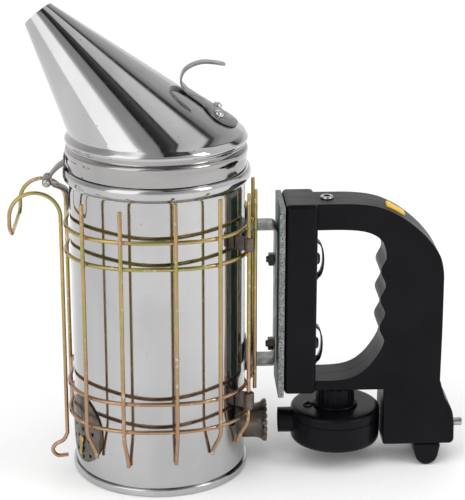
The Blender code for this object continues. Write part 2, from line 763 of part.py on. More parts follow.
def guard_clip(name, side, low, high):
    """A rolled sleeve on the last upright, with a tail that lies on the pot."""
    azimuth = side * -UPRIGHTS[-1][0]
    radius = ring_radius(azimuth) + UPRIGHT_STANDOFF
    sleeve = rod(3.0, around(azimuth, radius, low), around(azimuth, radius, high), 16)
    bore = rod(WIRE_RADIUS + GAP, around(azimuth, radius, low - 2), around(azimuth, radius, high + 2), 12)
    tail = box((POT_RADIUS + GAP + 0.1, -0.6, low), (radius - 1.9, 0.6, high), pot_frame(azimuth))
    clip = cut(join(sleeve, [tail]), [bore])
    return smooth_faces(finish(clip, name, "dull_steel"))


# ---------------------------------------------------------------- bracket and board

def bracket_strap():
    """A flat bar bent to a C: two arms from the pot and a web on the board."""
    wall = POT_RADIUS + GAP + STRAP_THICKNESS / 2
    web = BOARD_FACE - GAP - STRAP_THICKNESS / 2
    top, low = ARM_HEIGHTS
    bend = 2.6
    path = [(wall, top - 13)] + arc(wall + bend, top - bend, bend, 180, 90, 3)
    path += arc(web - bend, top - bend, bend, 90, 0, 3)
    path += arc(web - bend, low + bend, bend, 0, -90, 3)
    path += arc(wall + bend, low + bend, bend, 270, 180, 3) + [(wall, low + 13)]
    strap = strip(path, STRAP_HALF_WIDTH, STRAP_THICKNESS)
    strap = cut(strap, [cylinder(BOLT_RADIUS + GAP, 8, (BOARD_FACE, 0, z), "X", 16)
                        for _, z in BOLT_HEIGHTS])
    return smooth_faces(finish(strap, "bracket_strap", "dull_steel"))


def backing_board():
    board = box((BOARD_FACE, -BOARD_HALF_WIDTH, BOARD_BOTTOM),
                (BOARD_FACE + BOARD_THICKNESS, BOARD_HALF_WIDTH, BOARD_TOP))
    board = cut(board, [cylinder(BOLT_RADIUS + GAP, 12, (BOARD_FACE, 0, z), "X", 16)
                        for _, z in BOLT_HEIGHTS])
    return finish(board, "backing_board", "teal_board")


def bracket_bolt(name, height):
    head = COLUMN_RIGHT + GAP
    length = head - BOLT_END
    profile = [(0, length + 2.6), (2.4, length + 2.6), (3.5, length + 1.8), (3.5, length),
               (BOLT_RADIUS, length), (BOLT_RADIUS, 0.6), (BOLT_RADIUS - 0.5, 0), (0, 0)]
    bolt = turned(profile, on_axis(BOLT_END, 0, height, "X"), 16)
    return smooth_faces(finish(bolt, name, "dull_steel"))


def bracket_nut(name, height):
    face = BOARD_FACE - 2 * GAP - STRAP_THICKNESS
    nut = cylinder(4.0, 3.2, (face - 1.6, 0, height), "X", 6)
    nut = cut(nut, [cylinder(BOLT_RADIUS + GAP, 8, (face, 0, height), "X", 16)])
    return finish(nut, name, "dull_steel")


def bow_clip(name, height):
    """A bowed strip over the bolt's head, on the column's inner side."""
    face = COLUMN_RIGHT + GAP + 0.4
    path = [(face, height - 12.4), (face + 0.9, height - 10.6)]
    path += [(face + 4.1 * math.cos(math.radians(a)) ** 0.8, height + 10.6 * math.sin(math.radians(a)))
             for a in (-65, -45, -25, 0, 25, 45, 65)]
    path += [(face + 0.9, height + 10.6), (face, height + 12.4)]
    return smooth_faces(finish(strip(path, 4.0, 0.8), name, "black_plastic"))


# ---------------------------------------------------------------- handle

def column_outline():
    left = BOARD_FACE + BOARD_THICKNESS + GAP
    return [(left, HANDLE_BOTTOM - 0.4), (COLUMN_RIGHT, HANDLE_BOTTOM - 0.4),
            (COLUMN_RIGHT, COLUMN_TOP), (left, COLUMN_TOP)]


def loop_outline():
    """The handle's outside, anticlockwise from its lower corner in the column."""
    inside = COLUMN_RIGHT - 15
    back = [(GRIP_RIGHT, HANDLE_BOTTOM), (GRIP_RIGHT + 0.2, 84), (GRIP_RIGHT, 112)]
    shoulder = [(GRIP_RIGHT, 112), (164.6, 121), (161.8, 131.0), (153.8, 141.8), (143.2, 151.2),
                (133.5, 157.0), (124.0, 160.4), (112.0, 161.9), (100.0, HANDLE_TOP)]
    return [(inside, HANDLE_BOTTOM)] + back[:2] + smooth_path(shoulder, 2) + [(inside, HANDLE_TOP)]


def finger_edge():
    """The finger side of the grip, from the top down, with its shallow finger grooves."""
    top, low = 130.0, 78.0
    count = 18
    points = []
    for i in range(count + 1):
        z = top + (low - top) * i / count
        x = 129.6 + FINGER_DEPTH * math.cos(2 * math.pi * (z - 112.5) / FINGER_SPAN)
        points.append((x, z))
    return points


def opening_outline():
    """The finger opening, clockwise from its upper corner in the column."""
    inside = COLUMN_RIGHT - 4
    upper = smooth_path([(inside, 146.6), (109.7, 146.4), (121.8, 144.2), (128.4, 139.4),
                         (130.6, 134.0)], 2)
    lower = smooth_path([(130.2, 74.6), (127.2, 69.0), (121.8, 61.8), (114.6, 56.4),
                         (105.0, 54.0), (inside, 53.6)], 2)
    return upper + finger_edge() + lower


def block_outline():
    """The battery block under the grip, anticlockwise from its lower left corner."""
    corner = 3.0
    back = smooth_path([(BLOCK_RIGHT, 26.0), (172.6, 34.0), (168.2, 42.4), (165.2, BLOCK_TOP)], 3)
    lower_right = arc(BLOCK_RIGHT - corner, BLOCK_BOTTOM + corner, corner, -90, 0, 3)
    return [(BLOCK_LEFT, BLOCK_BOTTOM)] + lower_right + back + [(BLOCK_LEFT, BLOCK_TOP)]


def flared(block, half_width):
    """The block's sides drawn in toward its top, where they meet the grip."""
    narrow = (ARM_HALF_WIDTH - 0.1) / BLOCK_HALF_WIDTH
    to_world = block.matrix_world
    for vertex in block.data.vertices:
        place = to_world @ vertex.co
        down = (BLOCK_TOP - place.z / MM) / (BLOCK_TOP - BLOCK_BOTTOM)
        side = math.copysign(half_width * (narrow + (1 - narrow) * min(max(down, 0), 1)), place.y)
        vertex.co = to_world.inverted() @ Vector((place.x, side * MM, place.z))
    return block


def handle_solid(grow, edge):
    """The handle's volume, moved inward everywhere by -grow for its cavity."""
    loop = prism([inset(loop_outline(), -grow), inset(opening_outline(), -grow)],
                 -ARM_HALF_WIDTH - grow, ARM_HALF_WIDTH + grow)
    column = prism([inset(column_outline(), -grow)], -BOARD_HALF_WIDTH - grow,
                   BOARD_HALF_WIDTH + grow)
    block = flared(prism([inset(block_outline(), -grow)], -BLOCK_HALF_WIDTH - grow,
                         BLOCK_HALF_WIDTH + grow), BLOCK_HALF_WIDTH + grow)
    solids = [loop, column, block]
    if edge:
        for solid in solids:
            round_edges(solid, edge)
        solids = [baked(solid) for solid in solids]
    return join(solids[0], solids[1:], "MANIFOLD")


def button_frame():
    """The button's place: X down the handle's shoulder, Z out of its surface."""
    return Matrix.Translation(at(BUTTON_X, 0, BUTTON_Z)) @ turn("Y", -BUTTON_SLOPE)


def button_solid(grow, low, high):
    half_x, half_y = BUTTON_LENGTH / 2 + grow, BUTTON_WIDTH / 2 + grow
    return box((-half_x, -half_y, low), (half_x, half_y, high), button_frame())


CASE_SCREWS = (("case_screw_upper", 114.0, 154.2), ("case_screw_lower", 147.0, 92.0))


def handle_openings():
    """What is cut through both halves of the handle."""
    bolts = [cylinder(BOLT_RADIUS + GAP, 60, (COLUMN_RIGHT - 10, 0, z), "X", 16)
             for _, z in BOLT_HEIGHTS]
    door = box((BLOCK_LEFT + 4, -13, BLOCK_BOTTOM - 2), (BLOCK_RIGHT - 6, 13, BLOCK_BOTTOM + 4))
    stub = cylinder(1.6 + GAP, 8, (BLOCK_RIGHT, 0, STUB_HEIGHT), "X", 12)
    socket = cylinder(3.0 + GAP, 6, (SOCKET_X, 0, HANDLE_TOP), "Z", 16)
    return bolts + [door, stub, socket, button_solid(GAP, -6, 4)]


def handle_shells():
    body = cut(handle_solid(0.0, 2.6), [handle_solid(-WALL, 0.0)] + handle_openings(), "MANIFOLD")
    reach = (-40, 220)
    far_half = box((reach[0], -GAP / 2, -5), (reach[1], 40, 200))
    near_half = box((reach[0], -40, -5), (reach[1], GAP / 2, 200))
    far_source = bpy.data.objects.new("piece", body.data.copy())
    bpy.context.scene.collection.objects.link(far_source)
    far_source.matrix_world = body.matrix_world
    near = cut(body, [far_half], "MANIFOLD")
    far = cut(far_source, [near_half], "MANIFOLD")
    inner_face = ARM_HALF_WIDTH - WALL + 0.5
    bosses = [rod(2.8, (x, -inner_face, z), (x, -GAP / 2, z), 12) for _, x, z in CASE_SCREWS]
    near = join(near, bosses, "MANIFOLD")
    near = cut(near, [rod(1.2 + GAP, (x, -9.5, z), (x, 2, z), 12) for _, x, z in CASE_SCREWS],
               "MANIFOLD")
    posts = [rod(4.0, (x, GAP / 2, z), (x, inner_face, z), 12) for _, x, z in CASE_SCREWS]
    far = join(far, posts, "MANIFOLD")
    shanks = [rod(1.2 + GAP, (x, -2, z), (x, 20, z), 12) for _, x, z in CASE_SCREWS]
    heads = [rod(2.4 + GAP, (x, ARM_HALF_WIDTH - 3.0, z), (x, 20, z), 12) for _, x, z in CASE_SCREWS]
    far = cut(far, shanks + heads, "MANIFOLD")
    smooth_faces(finish(near, "handle_shell_near", "black_plastic"))
    smooth_faces(finish(far, "handle_shell_far", "black_plastic"))


def case_screw(name, x, z):
    head = ARM_HALF_WIDTH - 3.0 + GAP
    profile = [(0, head + 2.0), (1.8, head + 2.0), (2.4, head + 1.5), (2.4, head),
               (1.2, head), (1.2, -7.0), (0, -9.0)]
    screw = turned(profile, on_axis(x, 0, z, "Y"), 12)
    return smooth_faces(finish(screw, name, "dull_steel"))


def switch_button():
    button = round_edges(button_solid(0.0, -3.4, 1.3), 0.7, 2)
    return smooth_faces(finish(baked(button), "switch_button", "yellow_plastic"))


def switch_body():
    return finish(box((-4.5, -4, -11.2), (4.5, 4, -5.2), button_frame()), "switch_body",
                  "black_plastic")


def charge_socket():
    top = HANDLE_TOP + GAP
    profile = [(1.9, 1.2), (2.9, 1.3), (3.6, 0.9), (3.9, 0.2), (3.9, 0.0), (3.0, 0.0),
               (3.0, -7.0), (1.9, -7.0)]
    socket = turned(profile, on_axis(SOCKET_X, 0, top), 16, closed=True)
    return smooth_faces(finish(socket, "charge_socket", "dull_steel"))


def battery_cell(name, x):
    low = BLOCK_BOTTOM + WALL + 1.6
    profile = [(0, CELL_LENGTH), (2.6, CELL_LENGTH), (2.6, CELL_LENGTH - 1.2),
               (CELL_RADIUS - 0.4, CELL_LENGTH - 1.2), (CELL_RADIUS, CELL_LENGTH - 1.8),
               (CELL_RADIUS, 0.4), (CELL_RADIUS - 0.4, 0), (0, 0)]
    cell = turned(profile, on_axis(x, 0, low), 20)
    return smooth_faces(finish(cell, name, "cell_wrap"))


def battery_door():
    """The plate that closes the block, with the round foot that props the handle."""
    top = BLOCK_BOTTOM - GAP
    low = (BLOCK_LEFT + 4 + GAP, -13 + GAP, top - 0.9)
    high = (BLOCK_RIGHT - 6 - GAP, 13 - GAP, BLOCK_BOTTOM + 1.8)
    plate = box(low, high)
    lobe = [(FOOT_X + FOOT_RADIUS + 1.4, top), (FOOT_X - FOOT_RADIUS - 1.4, top)]
    lobe += arc(FOOT_X, FOOT_RADIUS, FOOT_RADIUS, 190, 350, 10)
    foot = round_edges(prism([lobe[::-1]], -FOOT_HALF_WIDTH, FOOT_HALF_WIDTH), 1.2)
    door = join(plate, [baked(foot)])
    return smooth_faces(finish(door, "battery_door", "black_plastic"))


def thumb_screw():
    face = BLOCK_RIGHT + GAP
    length = STUB_END - face
    profile = [(0, length), (1.9, length), (2.4, length - 0.5), (2.4, 0.8), (2.0, 0.0),
               (1.6, 0.0), (1.6, -3.6), (0, -3.6)]
    screw = turned(profile, on_axis(face, 0, STUB_HEIGHT, "X"), 16)
    return smooth_faces(finish(screw, "thumb_screw", "dull_steel"))


# ---------------------------------------------------------------- blower

def blower_volute():
    centre = on_axis(BLOWER_X, 0, 0)
    outer = turned([(0, VOLUTE_TOP), (24.6, VOLUTE_TOP), (26.0, 33.3), (VOLUTE_RADIUS, 31.8),
                    (VOLUTE_RADIUS, 15.0), (26.0, 13.5), (24.8, VOLUTE_BOTTOM),
                    (0, VOLUTE_BOTTOM)], centre, 30)
    nozzle = rod(NOZZLE_RADIUS, (NOZZLE_END, 0, INLET_HEIGHT), (BLOWER_X - 20, 0, INLET_HEIGHT), 24)
    chamber = turned([(0, VOLUTE_TOP - WALL), (24.3, VOLUTE_TOP - WALL), (24.3, 14.9), (23.2, 14.9),
                      (23.2, VOLUTE_BOTTOM - 2), (0, VOLUTE_BOTTOM - 2)], centre, 30)
    bore = rod(NOZZLE_RADIUS - 1.7, (NOZZLE_END - 5, 0, INLET_HEIGHT),
               (BLOWER_X - 20, 0, INLET_HEIGHT), 16)
    shaft_hole = cylinder(1.8, 8, (BLOWER_X, 0, VOLUTE_TOP), "Z", 12)
    body = cut(join(outer, [nozzle]), [chamber, bore, shaft_hole])
    return smooth_faces(finish(body, "blower_volute", "black_plastic"))


def blower_cover():
    disc = cylinder(22.9, 1.8, (BLOWER_X, 0, VOLUTE_BOTTOM + 0.9), "Z", 30)
    slots = []
    for i in range(6):
        angle = 2 * math.pi * i / 6
        slots.append(cylinder(3.0, 8, (BLOWER_X + 11.0 * math.cos(angle), 11.0 * math.sin(angle),
                                       VOLUTE_BOTTOM), "Z", 10))
    return smooth_faces(finish(cut(disc, slots), "blower_cover", "black_plastic"))


def motor_housing():
    low, top = VOLUTE_TOP + GAP, HANDLE_BOTTOM - 2 * GAP
    inner = HOUSING_RADIUS - 1.6
    profile = [(0, top), (HOUSING_RADIUS - 0.6, top), (HOUSING_RADIUS, top - 0.6),
               (HOUSING_RADIUS, low + 1.6), (HOUSING_RADIUS + 1.8, low + 1.0),
               (HOUSING_RADIUS + 1.8, low), (inner, low), (inner, top - 1.4), (0, top - 1.4)]
    housing = turned(profile, on_axis(BLOWER_X, 0, 0), 28)
    return smooth_faces(finish(housing, "motor_housing", "black_plastic"))


def motor():
    low, top = VOLUTE_TOP + GAP, HANDLE_BOTTOM - 2.6
    profile = [(0, top), (MOTOR_RADIUS - 0.5, top), (MOTOR_RADIUS, top - 0.5), (MOTOR_RADIUS, low),
               (1.5, low), (1.5, top - 2.0), (0, top - 2.0)]
    can = turned(profile, on_axis(BLOWER_X, 0, 0), 24)
    return smooth_faces(finish(can, "motor", "dull_steel"))


def motor_shaft():
    profile = [(0, 42.0), (1.0, 42.0), (1.0, 16.4), (0, 16.4)]
    return smooth_faces(finish(turned(profile, on_axis(BLOWER_X, 0, 0), 12), "motor_shaft", "dull_steel"))


def impeller():
    disc = turned([(0, 29.6), (4.0, 29.6), (4.0, 18.4), (21.5, 18.4), (21.5, 17.0), (0, 17.0)],
                  on_axis(BLOWER_X, 0, 0), 20)
    blades = []
    for i in range(8):
        blade_frame = (on_axis(BLOWER_X, 0, 0) @ turn("Z", 45.0 * i)
                       @ Matrix.Translation((15 * MM, 0, 0)) @ turn("Z", 32))
        blades.append(box((-5.6, -0.7, 18.0), (5.6, 0.7, 28.6), blade_frame))
    fan = join(disc, blades)
    fan = cut(fan, [cylinder(1.0 + GAP, 20, (BLOWER_X, 0, 22), "Z", 12)])
    return smooth_faces(finish(fan, "impeller", "black_plastic"))


def volute_screw():
    profile = rivet_profile(3.0, 1.6, 1.2, 0.2, 1.2)[:4] + [(0, 0)]
    screw = turned(profile, on_axis(88.2, -1.5, VOLUTE_TOP + GAP), 14)
    return smooth_faces(finish(screw, "volute_screw", "dull_steel"))


# ---------------------------------------------------------------- assembly

def build_pot():
    fire_pot_shell()
    base_pan()
    ash_grate()
    air_inlet_tube()
    vent_disc()
    hang_on(axis_empty("vent_axis", vent_frame()), [vent_shutter()])


def build_lid():
    lid_pieces = [lid_cone(), lid_collar(), finger_tab(), tab_rivet("tab_rivet_near", -1),
                  tab_rivet("tab_rivet_far", 1), hinge_leaf_lid()]
    hang_on(axis_empty("lid_axis", on_axis(HINGE_X, 0, HINGE_Z)), lid_pieces)
    hinge_leaf_body()
    hinge_pin()


def build_guard():
    for index, height in enumerate(RING_HEIGHTS):
        guard_ring(index, height)
    for index, (azimuth, top, bottom) in enumerate(UPRIGHTS):
        guard_upright("guard_upright_near_%d" % (index + 1), azimuth, top, bottom)
    for index, (azimuth, top, bottom) in enumerate(UPRIGHTS[1:]):
        guard_upright("guard_upright_far_%d" % (index + 1), -azimuth, top, bottom)
    for word, side in (("near", -1), ("far", 1)):
        end_upright("guard_end_" + word, side)
        for place, low, high in CLIP_SPANS:
            guard_clip("guard_clip_%s_%s" % (word, place), side, low, high)
    hook_frame()


def build_bracket():
    bracket_strap()
    backing_board()
    for place, height in BOLT_HEIGHTS:
        bracket_bolt("bracket_bolt_" + place, height)
        bracket_nut("bracket_nut_" + place, height)
        bow_clip("bow_clip_" + place, height)


def build_handle():
    handle_shells()
    for name, x, z in CASE_SCREWS:
        case_screw(name, x, z)
    button = switch_button()
    hang_on(axis_empty("button_axis", button_frame()), [button])
    switch_body()
    charge_socket()
    battery_cell("battery_cell_front", BLOCK_LEFT + WALL + GAP + CELL_RADIUS)
    battery_cell("battery_cell_rear", BLOCK_LEFT + WALL + 2 * GAP + 3 * CELL_RADIUS)
    battery_door()
    thumb_screw()


def build_blower():
    blower_volute()
    blower_cover()
    motor_housing()
    motor()
    volute_screw()
    hang_on(axis_empty("rotor_axis", on_axis(BLOWER_X, 0, VOLUTE_TOP)), [motor_shaft(), impeller()])


build_pot()
build_lid()
build_guard()
build_bracket()
build_handle()
build_blower()
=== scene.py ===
import math

import bmesh
import bpy
from mathutils import Matrix, Vector


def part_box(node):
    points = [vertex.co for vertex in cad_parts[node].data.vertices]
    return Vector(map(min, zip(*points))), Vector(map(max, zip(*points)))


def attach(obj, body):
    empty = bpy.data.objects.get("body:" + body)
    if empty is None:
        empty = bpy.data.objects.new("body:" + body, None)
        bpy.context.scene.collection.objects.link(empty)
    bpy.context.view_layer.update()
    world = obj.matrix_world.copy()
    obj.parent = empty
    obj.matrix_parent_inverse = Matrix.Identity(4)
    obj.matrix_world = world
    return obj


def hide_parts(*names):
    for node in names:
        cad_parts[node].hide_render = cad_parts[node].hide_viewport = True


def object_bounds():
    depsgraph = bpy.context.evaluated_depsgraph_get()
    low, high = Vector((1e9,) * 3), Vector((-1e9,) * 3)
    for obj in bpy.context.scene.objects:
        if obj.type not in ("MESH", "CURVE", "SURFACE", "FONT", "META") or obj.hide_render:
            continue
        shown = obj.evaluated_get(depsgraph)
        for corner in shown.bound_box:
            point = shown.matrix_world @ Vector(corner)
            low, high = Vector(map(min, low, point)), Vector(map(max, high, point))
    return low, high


# Visual model of an electric bee smoker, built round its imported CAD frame. Lengths are in
# millimetres in the pot's own frame: the pot's axis is Z and the handle lies toward +X.
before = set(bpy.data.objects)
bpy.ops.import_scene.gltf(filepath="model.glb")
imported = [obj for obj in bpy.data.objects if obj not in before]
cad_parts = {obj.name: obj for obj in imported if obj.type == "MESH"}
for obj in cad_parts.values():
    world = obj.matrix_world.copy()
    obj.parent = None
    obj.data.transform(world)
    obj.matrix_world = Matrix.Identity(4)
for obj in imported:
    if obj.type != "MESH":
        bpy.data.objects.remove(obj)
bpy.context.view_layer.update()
MM = 0.001


def box_mm(node):
    low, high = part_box(node)
    return low / MM, high / MM


POT_LOW, POT_HIGH = box_mm("fire_pot_shell")
AXIS_X = (POT_LOW.x + POT_HIGH.x) / 2
RIM_RADIUS = (POT_HIGH.y - POT_LOW.y) / 2
RIM_TOP = POT_HIGH.z
POT_RADIUS = 50.0
INLET_HEIGHT = 24.0
VENT_AZIMUTH = -151.5
VENT_HEIGHT = 31.5
VENT_PIVOT = 25.5
VENT_RADIUS = 20.4
VENT_PLATE_AZIMUTH, VENT_PLATE_NARROWING = -152.6, 0.9
CONE_FOOT = (-0.6, 204.2, 49.4)
CONE_MOUTH = (-64.1, 270.07, 9.3)
MOUTH_TILT = 39.4
MOUTH_LEAN = 2.0
SEAM_RADIUS, SEAM_BOTTOM = 51.9, 199.2
GROOVE_RADIUS, SKIRT_RADIUS, SKIRT_BOTTOM = 49.9, 51.2, 184.0
HINGE_X, HINGE_Z = -62.2, 175.0
WIRE, DRAWN_WIRE = 1.2, 1.16  # radius in the CAD, and the radius drawn
UPRIGHT_INSET = 0.2  # how much nearer the hoops the uprights are drawn
GAP = 0.3
RING_HEIGHTS = (153.9, 138.6, 58.5, 41.4)
UPRIGHTS = ((-134.0, 173.3, 19.0), (-110.9, 172.2, 17.5), (-80.3, 176.9, 20.0),
            (-55.0, 176.9, 22.0), (-30.0, 174.1, 21.5))
END_UPRIGHT = (-12.2, 171.5, 50.0)
RING_OPENING = 12.0
HOOK_LEFT = -84.05
BOARD_FACE, BOARD_BACK = 69.0, 72.3
BOLT_HEIGHTS = (125.5, 73.0)
COLUMN_RIGHT = 91.0
HANDLE_TOP, HANDLE_BOTTOM = 162.1, 47.6
GRIP_RIGHT, ARM_HALF = 165.0, 13.0
BLOCK_LEFT, BLOCK_RIGHT, BLOCK_BOTTOM, BLOCK_TOP, BLOCK_HALF = 131.6, 174.0, 13.7, 52.6, 16.9
COLUMN_HALF = 17.8
BUTTON_X, BUTTON_Z, BUTTON_SLOPE = 136.9, 155.0, -30.9
BUTTON_POCKET = 5.1  # deeper than the pressed button reaches
BLOWER_X = 104.5
FLOOR_GAP = 0.2  # how far the studio floor lies under the base pan
SKY_STRENGTH = 2.0


# ---------------------------------------------------------------- materials

class Finish:
    """A procedural material whose nodes are added one at a time."""

    def __init__(self, name, colour, roughness, metallic=0.0):
        self.material = bpy.data.materials.new(name)
        self.material.use_nodes = True
        self.tree = self.material.node_tree
        self.shader = self.tree.nodes["Principled BSDF"]
        self.set(self.shader, **{"Base Color": (*colour, 1), "Roughness": roughness,
                                 "Metallic": metallic})
        self.coordinates = self.tree.nodes.new("ShaderNodeTexCoord").outputs["Object"]
        self.material.diffuse_color = (*colour, 1)

    def set(self, node, **values):
        for name, value in values.items():
            self.plug(node, name, value)
        return node

    def plug(self, node, name, value):
        self.plug_socket(node.inputs[name], value)

    def node(self, kind, **settings):
        node = self.tree.nodes.new("ShaderNode" + kind)
        for name, value in settings.items():
            setattr(node, name, value)
        return node

    def noise(self, scale, detail=3.0, stretch=None, distortion=0.0):
        where = self.coordinates
        if stretch:
            mapping = self.node("Mapping")
            self.set(mapping, Vector=where, Scale=stretch)
            where = mapping.outputs[0]
        noise = self.set(self.node("TexNoise"), Vector=where, Scale=scale, Detail=detail,
                         Distortion=distortion)
        return noise.outputs["Fac"]

    def cells(self, scale):
        return self.set(self.node("TexVoronoi"), Vector=self.coordinates,
                        Scale=scale).outputs["Distance"]

    def ranged(self, value, low, high, to_low=0.0, to_high=1.0):
        node = self.node("MapRange")
        for socket, amount in zip(list(node.inputs)[:5], (value, low, high, to_low, to_high)):
            self.plug_socket(socket, amount)
        return node.outputs[0]

    def plug_socket(self, socket, value):
        if isinstance(value, bpy.types.NodeSocket):
            self.tree.links.new(value, socket)
        else:
            socket.default_value = value

    def add(self, a, b, operation="ADD"):
        node = self.node("Math", operation=operation)
        self.plug_socket(node.inputs[0], a)
        self.plug_socket(node.inputs[1], b)
        return node.outputs[0]

    def mix(self, share, a, b):
        node = self.node("Mix", data_type="RGBA")
        self.plug_socket(node.inputs[0], share)
        self.plug_socket(node.inputs[6], (*a, 1) if isinstance(a, tuple) else a)
        self.plug_socket(node.inputs[7], (*b, 1) if isinstance(b, tuple) else b)
        return node.outputs[2]

    def height(self):
        return self.set(self.node("SeparateXYZ"), Vector=self.coordinates).outputs["Z"]

    def bump(self, *layers):
        """Layers of (height, strength, distance in mm), one on another."""
        normal = None
        for height, strength, distance in layers:
            node = self.set(self.node("Bump"), Height=height, Strength=strength,
                            Distance=distance * MM)
            if normal:
                self.plug(node, "Normal", normal)
            normal = node.outputs[0]
        self.plug(self.shader, "Normal", normal)
        return self

    def colour(self, value):
        self.plug(self.shader, "Base Color", value)
        return self

    def rough(self, value):
        self.plug(self.shader, "Roughness", value)
        return self


def polished_steel(name, tint, roughness, wave):
    """Bright rolled sheet: soft waviness, fine lines, faint stains and scratches, and darker vertical
    bands painted in as reflected streaks.
    """
    steel = Finish(name, tint, roughness, 1.0)
    stain = steel.ranged(steel.noise(34, 6), 0.42, 0.7)
    clean = steel.mix(stain, tint, tuple(0.86 * c for c in tint))
    # Painted reflection: darker vertical bands in the colour stand in for the streaks the surroundings
    # reflect.
    bands = steel.ranged(steel.noise(26, 3, (1, 1, 0.07)), 0.35, 0.68)
    with_painted_reflections = steel.mix(bands, clean, tuple(0.8 * c for c in tint))
    spots = steel.ranged(steel.noise(420, 2), 0.7, 0.78)
    shade = steel.mix(spots, with_painted_reflections, tuple(0.55 * c for c in tint))
    steel.colour(shade)
    lines = steel.noise(60, 2, (1, 1, 30))
    scratches = steel.ranged(steel.noise(90, 3, (1, 1, 9), 0.6), 0.6, 0.66)
    worn = steel.add(steel.ranged(stain, 0, 1, 0.0, 0.07),
                     steel.add(scratches, 0.05, "MULTIPLY"))
    steel.rough(steel.add(worn, roughness))
    return steel.bump((steel.noise(17, 1, (1, 1, 0.45)), 0.35, wave), (lines, 0.04, 0.05),
                      (steel.noise(900, 2), 0.02, 0.02)).material


def plain_steel(name, colour, roughness, grain=0.25, rust=0.0):
    """Dull sheet or bar: mottled colour, pitted and scuffed."""
    steel = Finish(name, colour, roughness, 1.0)
    mottle = steel.ranged(steel.noise(160, 6), 0.35, 0.7)
    shade = steel.mix(mottle, colour, tuple(0.62 * c for c in colour))
    if rust:
        patches = steel.ranged(steel.noise(75, 5), 0.52, 0.68, 0, rust)
        shade = steel.mix(patches, shade, (0.19, 0.115, 0.065))
    steel.colour(shade).rough(steel.ranged(steel.noise(240, 4), 0.3, 0.7, roughness - 0.1,
                                           roughness + 0.16))
    return steel.bump((steel.noise(520, 5), grain, 0.12),
                      (steel.noise(2600, 2), 0.15, 0.03)).material


def passivated_wire(name):
    """Drawn wire in yellow zinc, with its straw, pink and olive bloom."""
    wire = Finish(name, (0.52, 0.37, 0.17), 0.26, 1.0)
    bloom = wire.ranged(wire.noise(62, 3), 0.3, 0.7)
    shade = wire.mix(bloom, (0.52, 0.38, 0.13), (0.42, 0.25, 0.15))
    olive = wire.ranged(wire.noise(38, 2, distortion=1.0), 0.44, 0.62)
    shade = wire.mix(olive, shade, (0.34, 0.32, 0.10))
    low = wire.ranged(wire.height(), 110 * MM, 60 * MM)
    shade = wire.mix(wire.add(low, 0.65, "MULTIPLY"), shade, (0.38, 0.21, 0.155))
    worn = wire.ranged(wire.noise(340, 4), 0.6, 0.72)
    wire.colour(wire.mix(worn, shade, (0.60, 0.55, 0.44)))
    wire.rough(wire.ranged(wire.noise(180, 4), 0.3, 0.7, 0.14, 0.28))
    return wire.bump((wire.noise(700, 4), 0.2, 0.06)).material


def moulded_plastic(name, colour, roughness, grain=0.22, scuff=1.6):
    """Spark-textured moulding, with the odd scuff and polished patch."""
    plastic = Finish(name, colour, roughness)
    handled = plastic.ranged(plastic.noise(28, 4), 0.35, 0.7)
    shade = plastic.mix(handled, colour, tuple(min(scuff * c + 0.002, 1) for c in colour))
    dust = plastic.ranged(plastic.noise(1500, 2), 0.72, 0.8, 0, 0.35)
    plastic.colour(plastic.mix(dust, shade, tuple(min(3 * c + 0.02, 1) for c in colour)))
    plastic.set(plastic.shader, **{"Specular IOR Level": 0.12 if max(colour) < 0.1 else 0.4})
    plastic.rough(plastic.ranged(handled, 0, 1, roughness - 0.05, roughness + 0.09))
    return plastic.bump((plastic.noise(3200, 2), grain, 0.05),
                        (plastic.noise(700, 3), 0.08, 0.05)).material


def board_face(name):
    """Pressed green-blue board, mottled, with a fine fibre."""
    board = Finish(name, (0.035, 0.13, 0.125), 0.5)
    shade = board.mix(board.ranged(board.noise(90, 5), 0.35, 0.68), (0.010, 0.05, 0.047),
                      (0.028, 0.085, 0.078))
    fleck = board.ranged(board.cells(900), 0.14, 0.05, 0, 0.45)
    board.colour(board.mix(fleck, shade, (0.16, 0.22, 0.21)))
    board.rough(board.ranged(board.noise(300, 4), 0.3, 0.7, 0.4, 0.62))
    return board.bump((board.noise(900, 4, (1, 1, 0.2)), 0.25, 0.08)).material


def board_edge(name):
    """The board's sawn edge: pale, coarse and speckled."""
    edge = Finish(name, (0.34, 0.36, 0.35), 0.7)
    speckle = edge.ranged(edge.noise(1500, 6), 0.42, 0.6)
    shade = edge.mix(speckle, (0.05, 0.06, 0.06), (0.33, 0.335, 0.325))
    pits = edge.ranged(edge.cells(1100), 0.2, 0.08)
    edge.colour(edge.mix(pits, shade, (0.06, 0.10, 0.10)))
    return edge.bump((edge.noise(900, 5), 0.6, 0.25)).material


MIRROR = polished_steel("mirror_steel", (0.53, 0.525, 0.53), 0.07, 1.6)
MIRROR_BAND = polished_steel("mirror_steel_band", (0.42, 0.405, 0.405), 0.08, 2.6)
MIRROR_LID = polished_steel("mirror_steel_lid", (0.54, 0.535, 0.54), 0.06, 0.9)
DARK = plain_steel("dark_steel", (0.10, 0.095, 0.09), 0.36, 0.3, 0.3)
DULL = plain_steel("dull_steel", (0.27, 0.262, 0.255), 0.32)
STAINED = plain_steel("stained_steel", (0.17, 0.145, 0.125), 0.36, 0.35, 0.6)
VENT_STEEL = plain_steel("vent_steel", (0.17, 0.15, 0.135), 0.34, 0.3, 0.5)
HINGE_STEEL = plain_steel("hinge_steel", (0.21, 0.195, 0.18), 0.32, 0.25, 0.2)
BRIGHT = plain_steel("bright_steel", (0.55, 0.54, 0.52), 0.2, 0.1)
BAR = plain_steel("bar_metal", (0.30, 0.30, 0.295), 0.42, 0.5)
WIRE_FINISH = passivated_wire("passivated_wire")
RIVET = plain_steel("rivet_steel", (0.66, 0.65, 0.63), 0.16, 0.08)
BRASS = plain_steel("brass", (0.58, 0.42, 0.16), 0.34, 0.2, 0.25)
BLACK = moulded_plastic("black_plastic", (0.0018, 0.0018, 0.0030), 0.36)
BLACK_GLOSS = moulded_plastic("black_plastic_gloss", (0.0018, 0.0018, 0.0028), 0.27, 0.08)
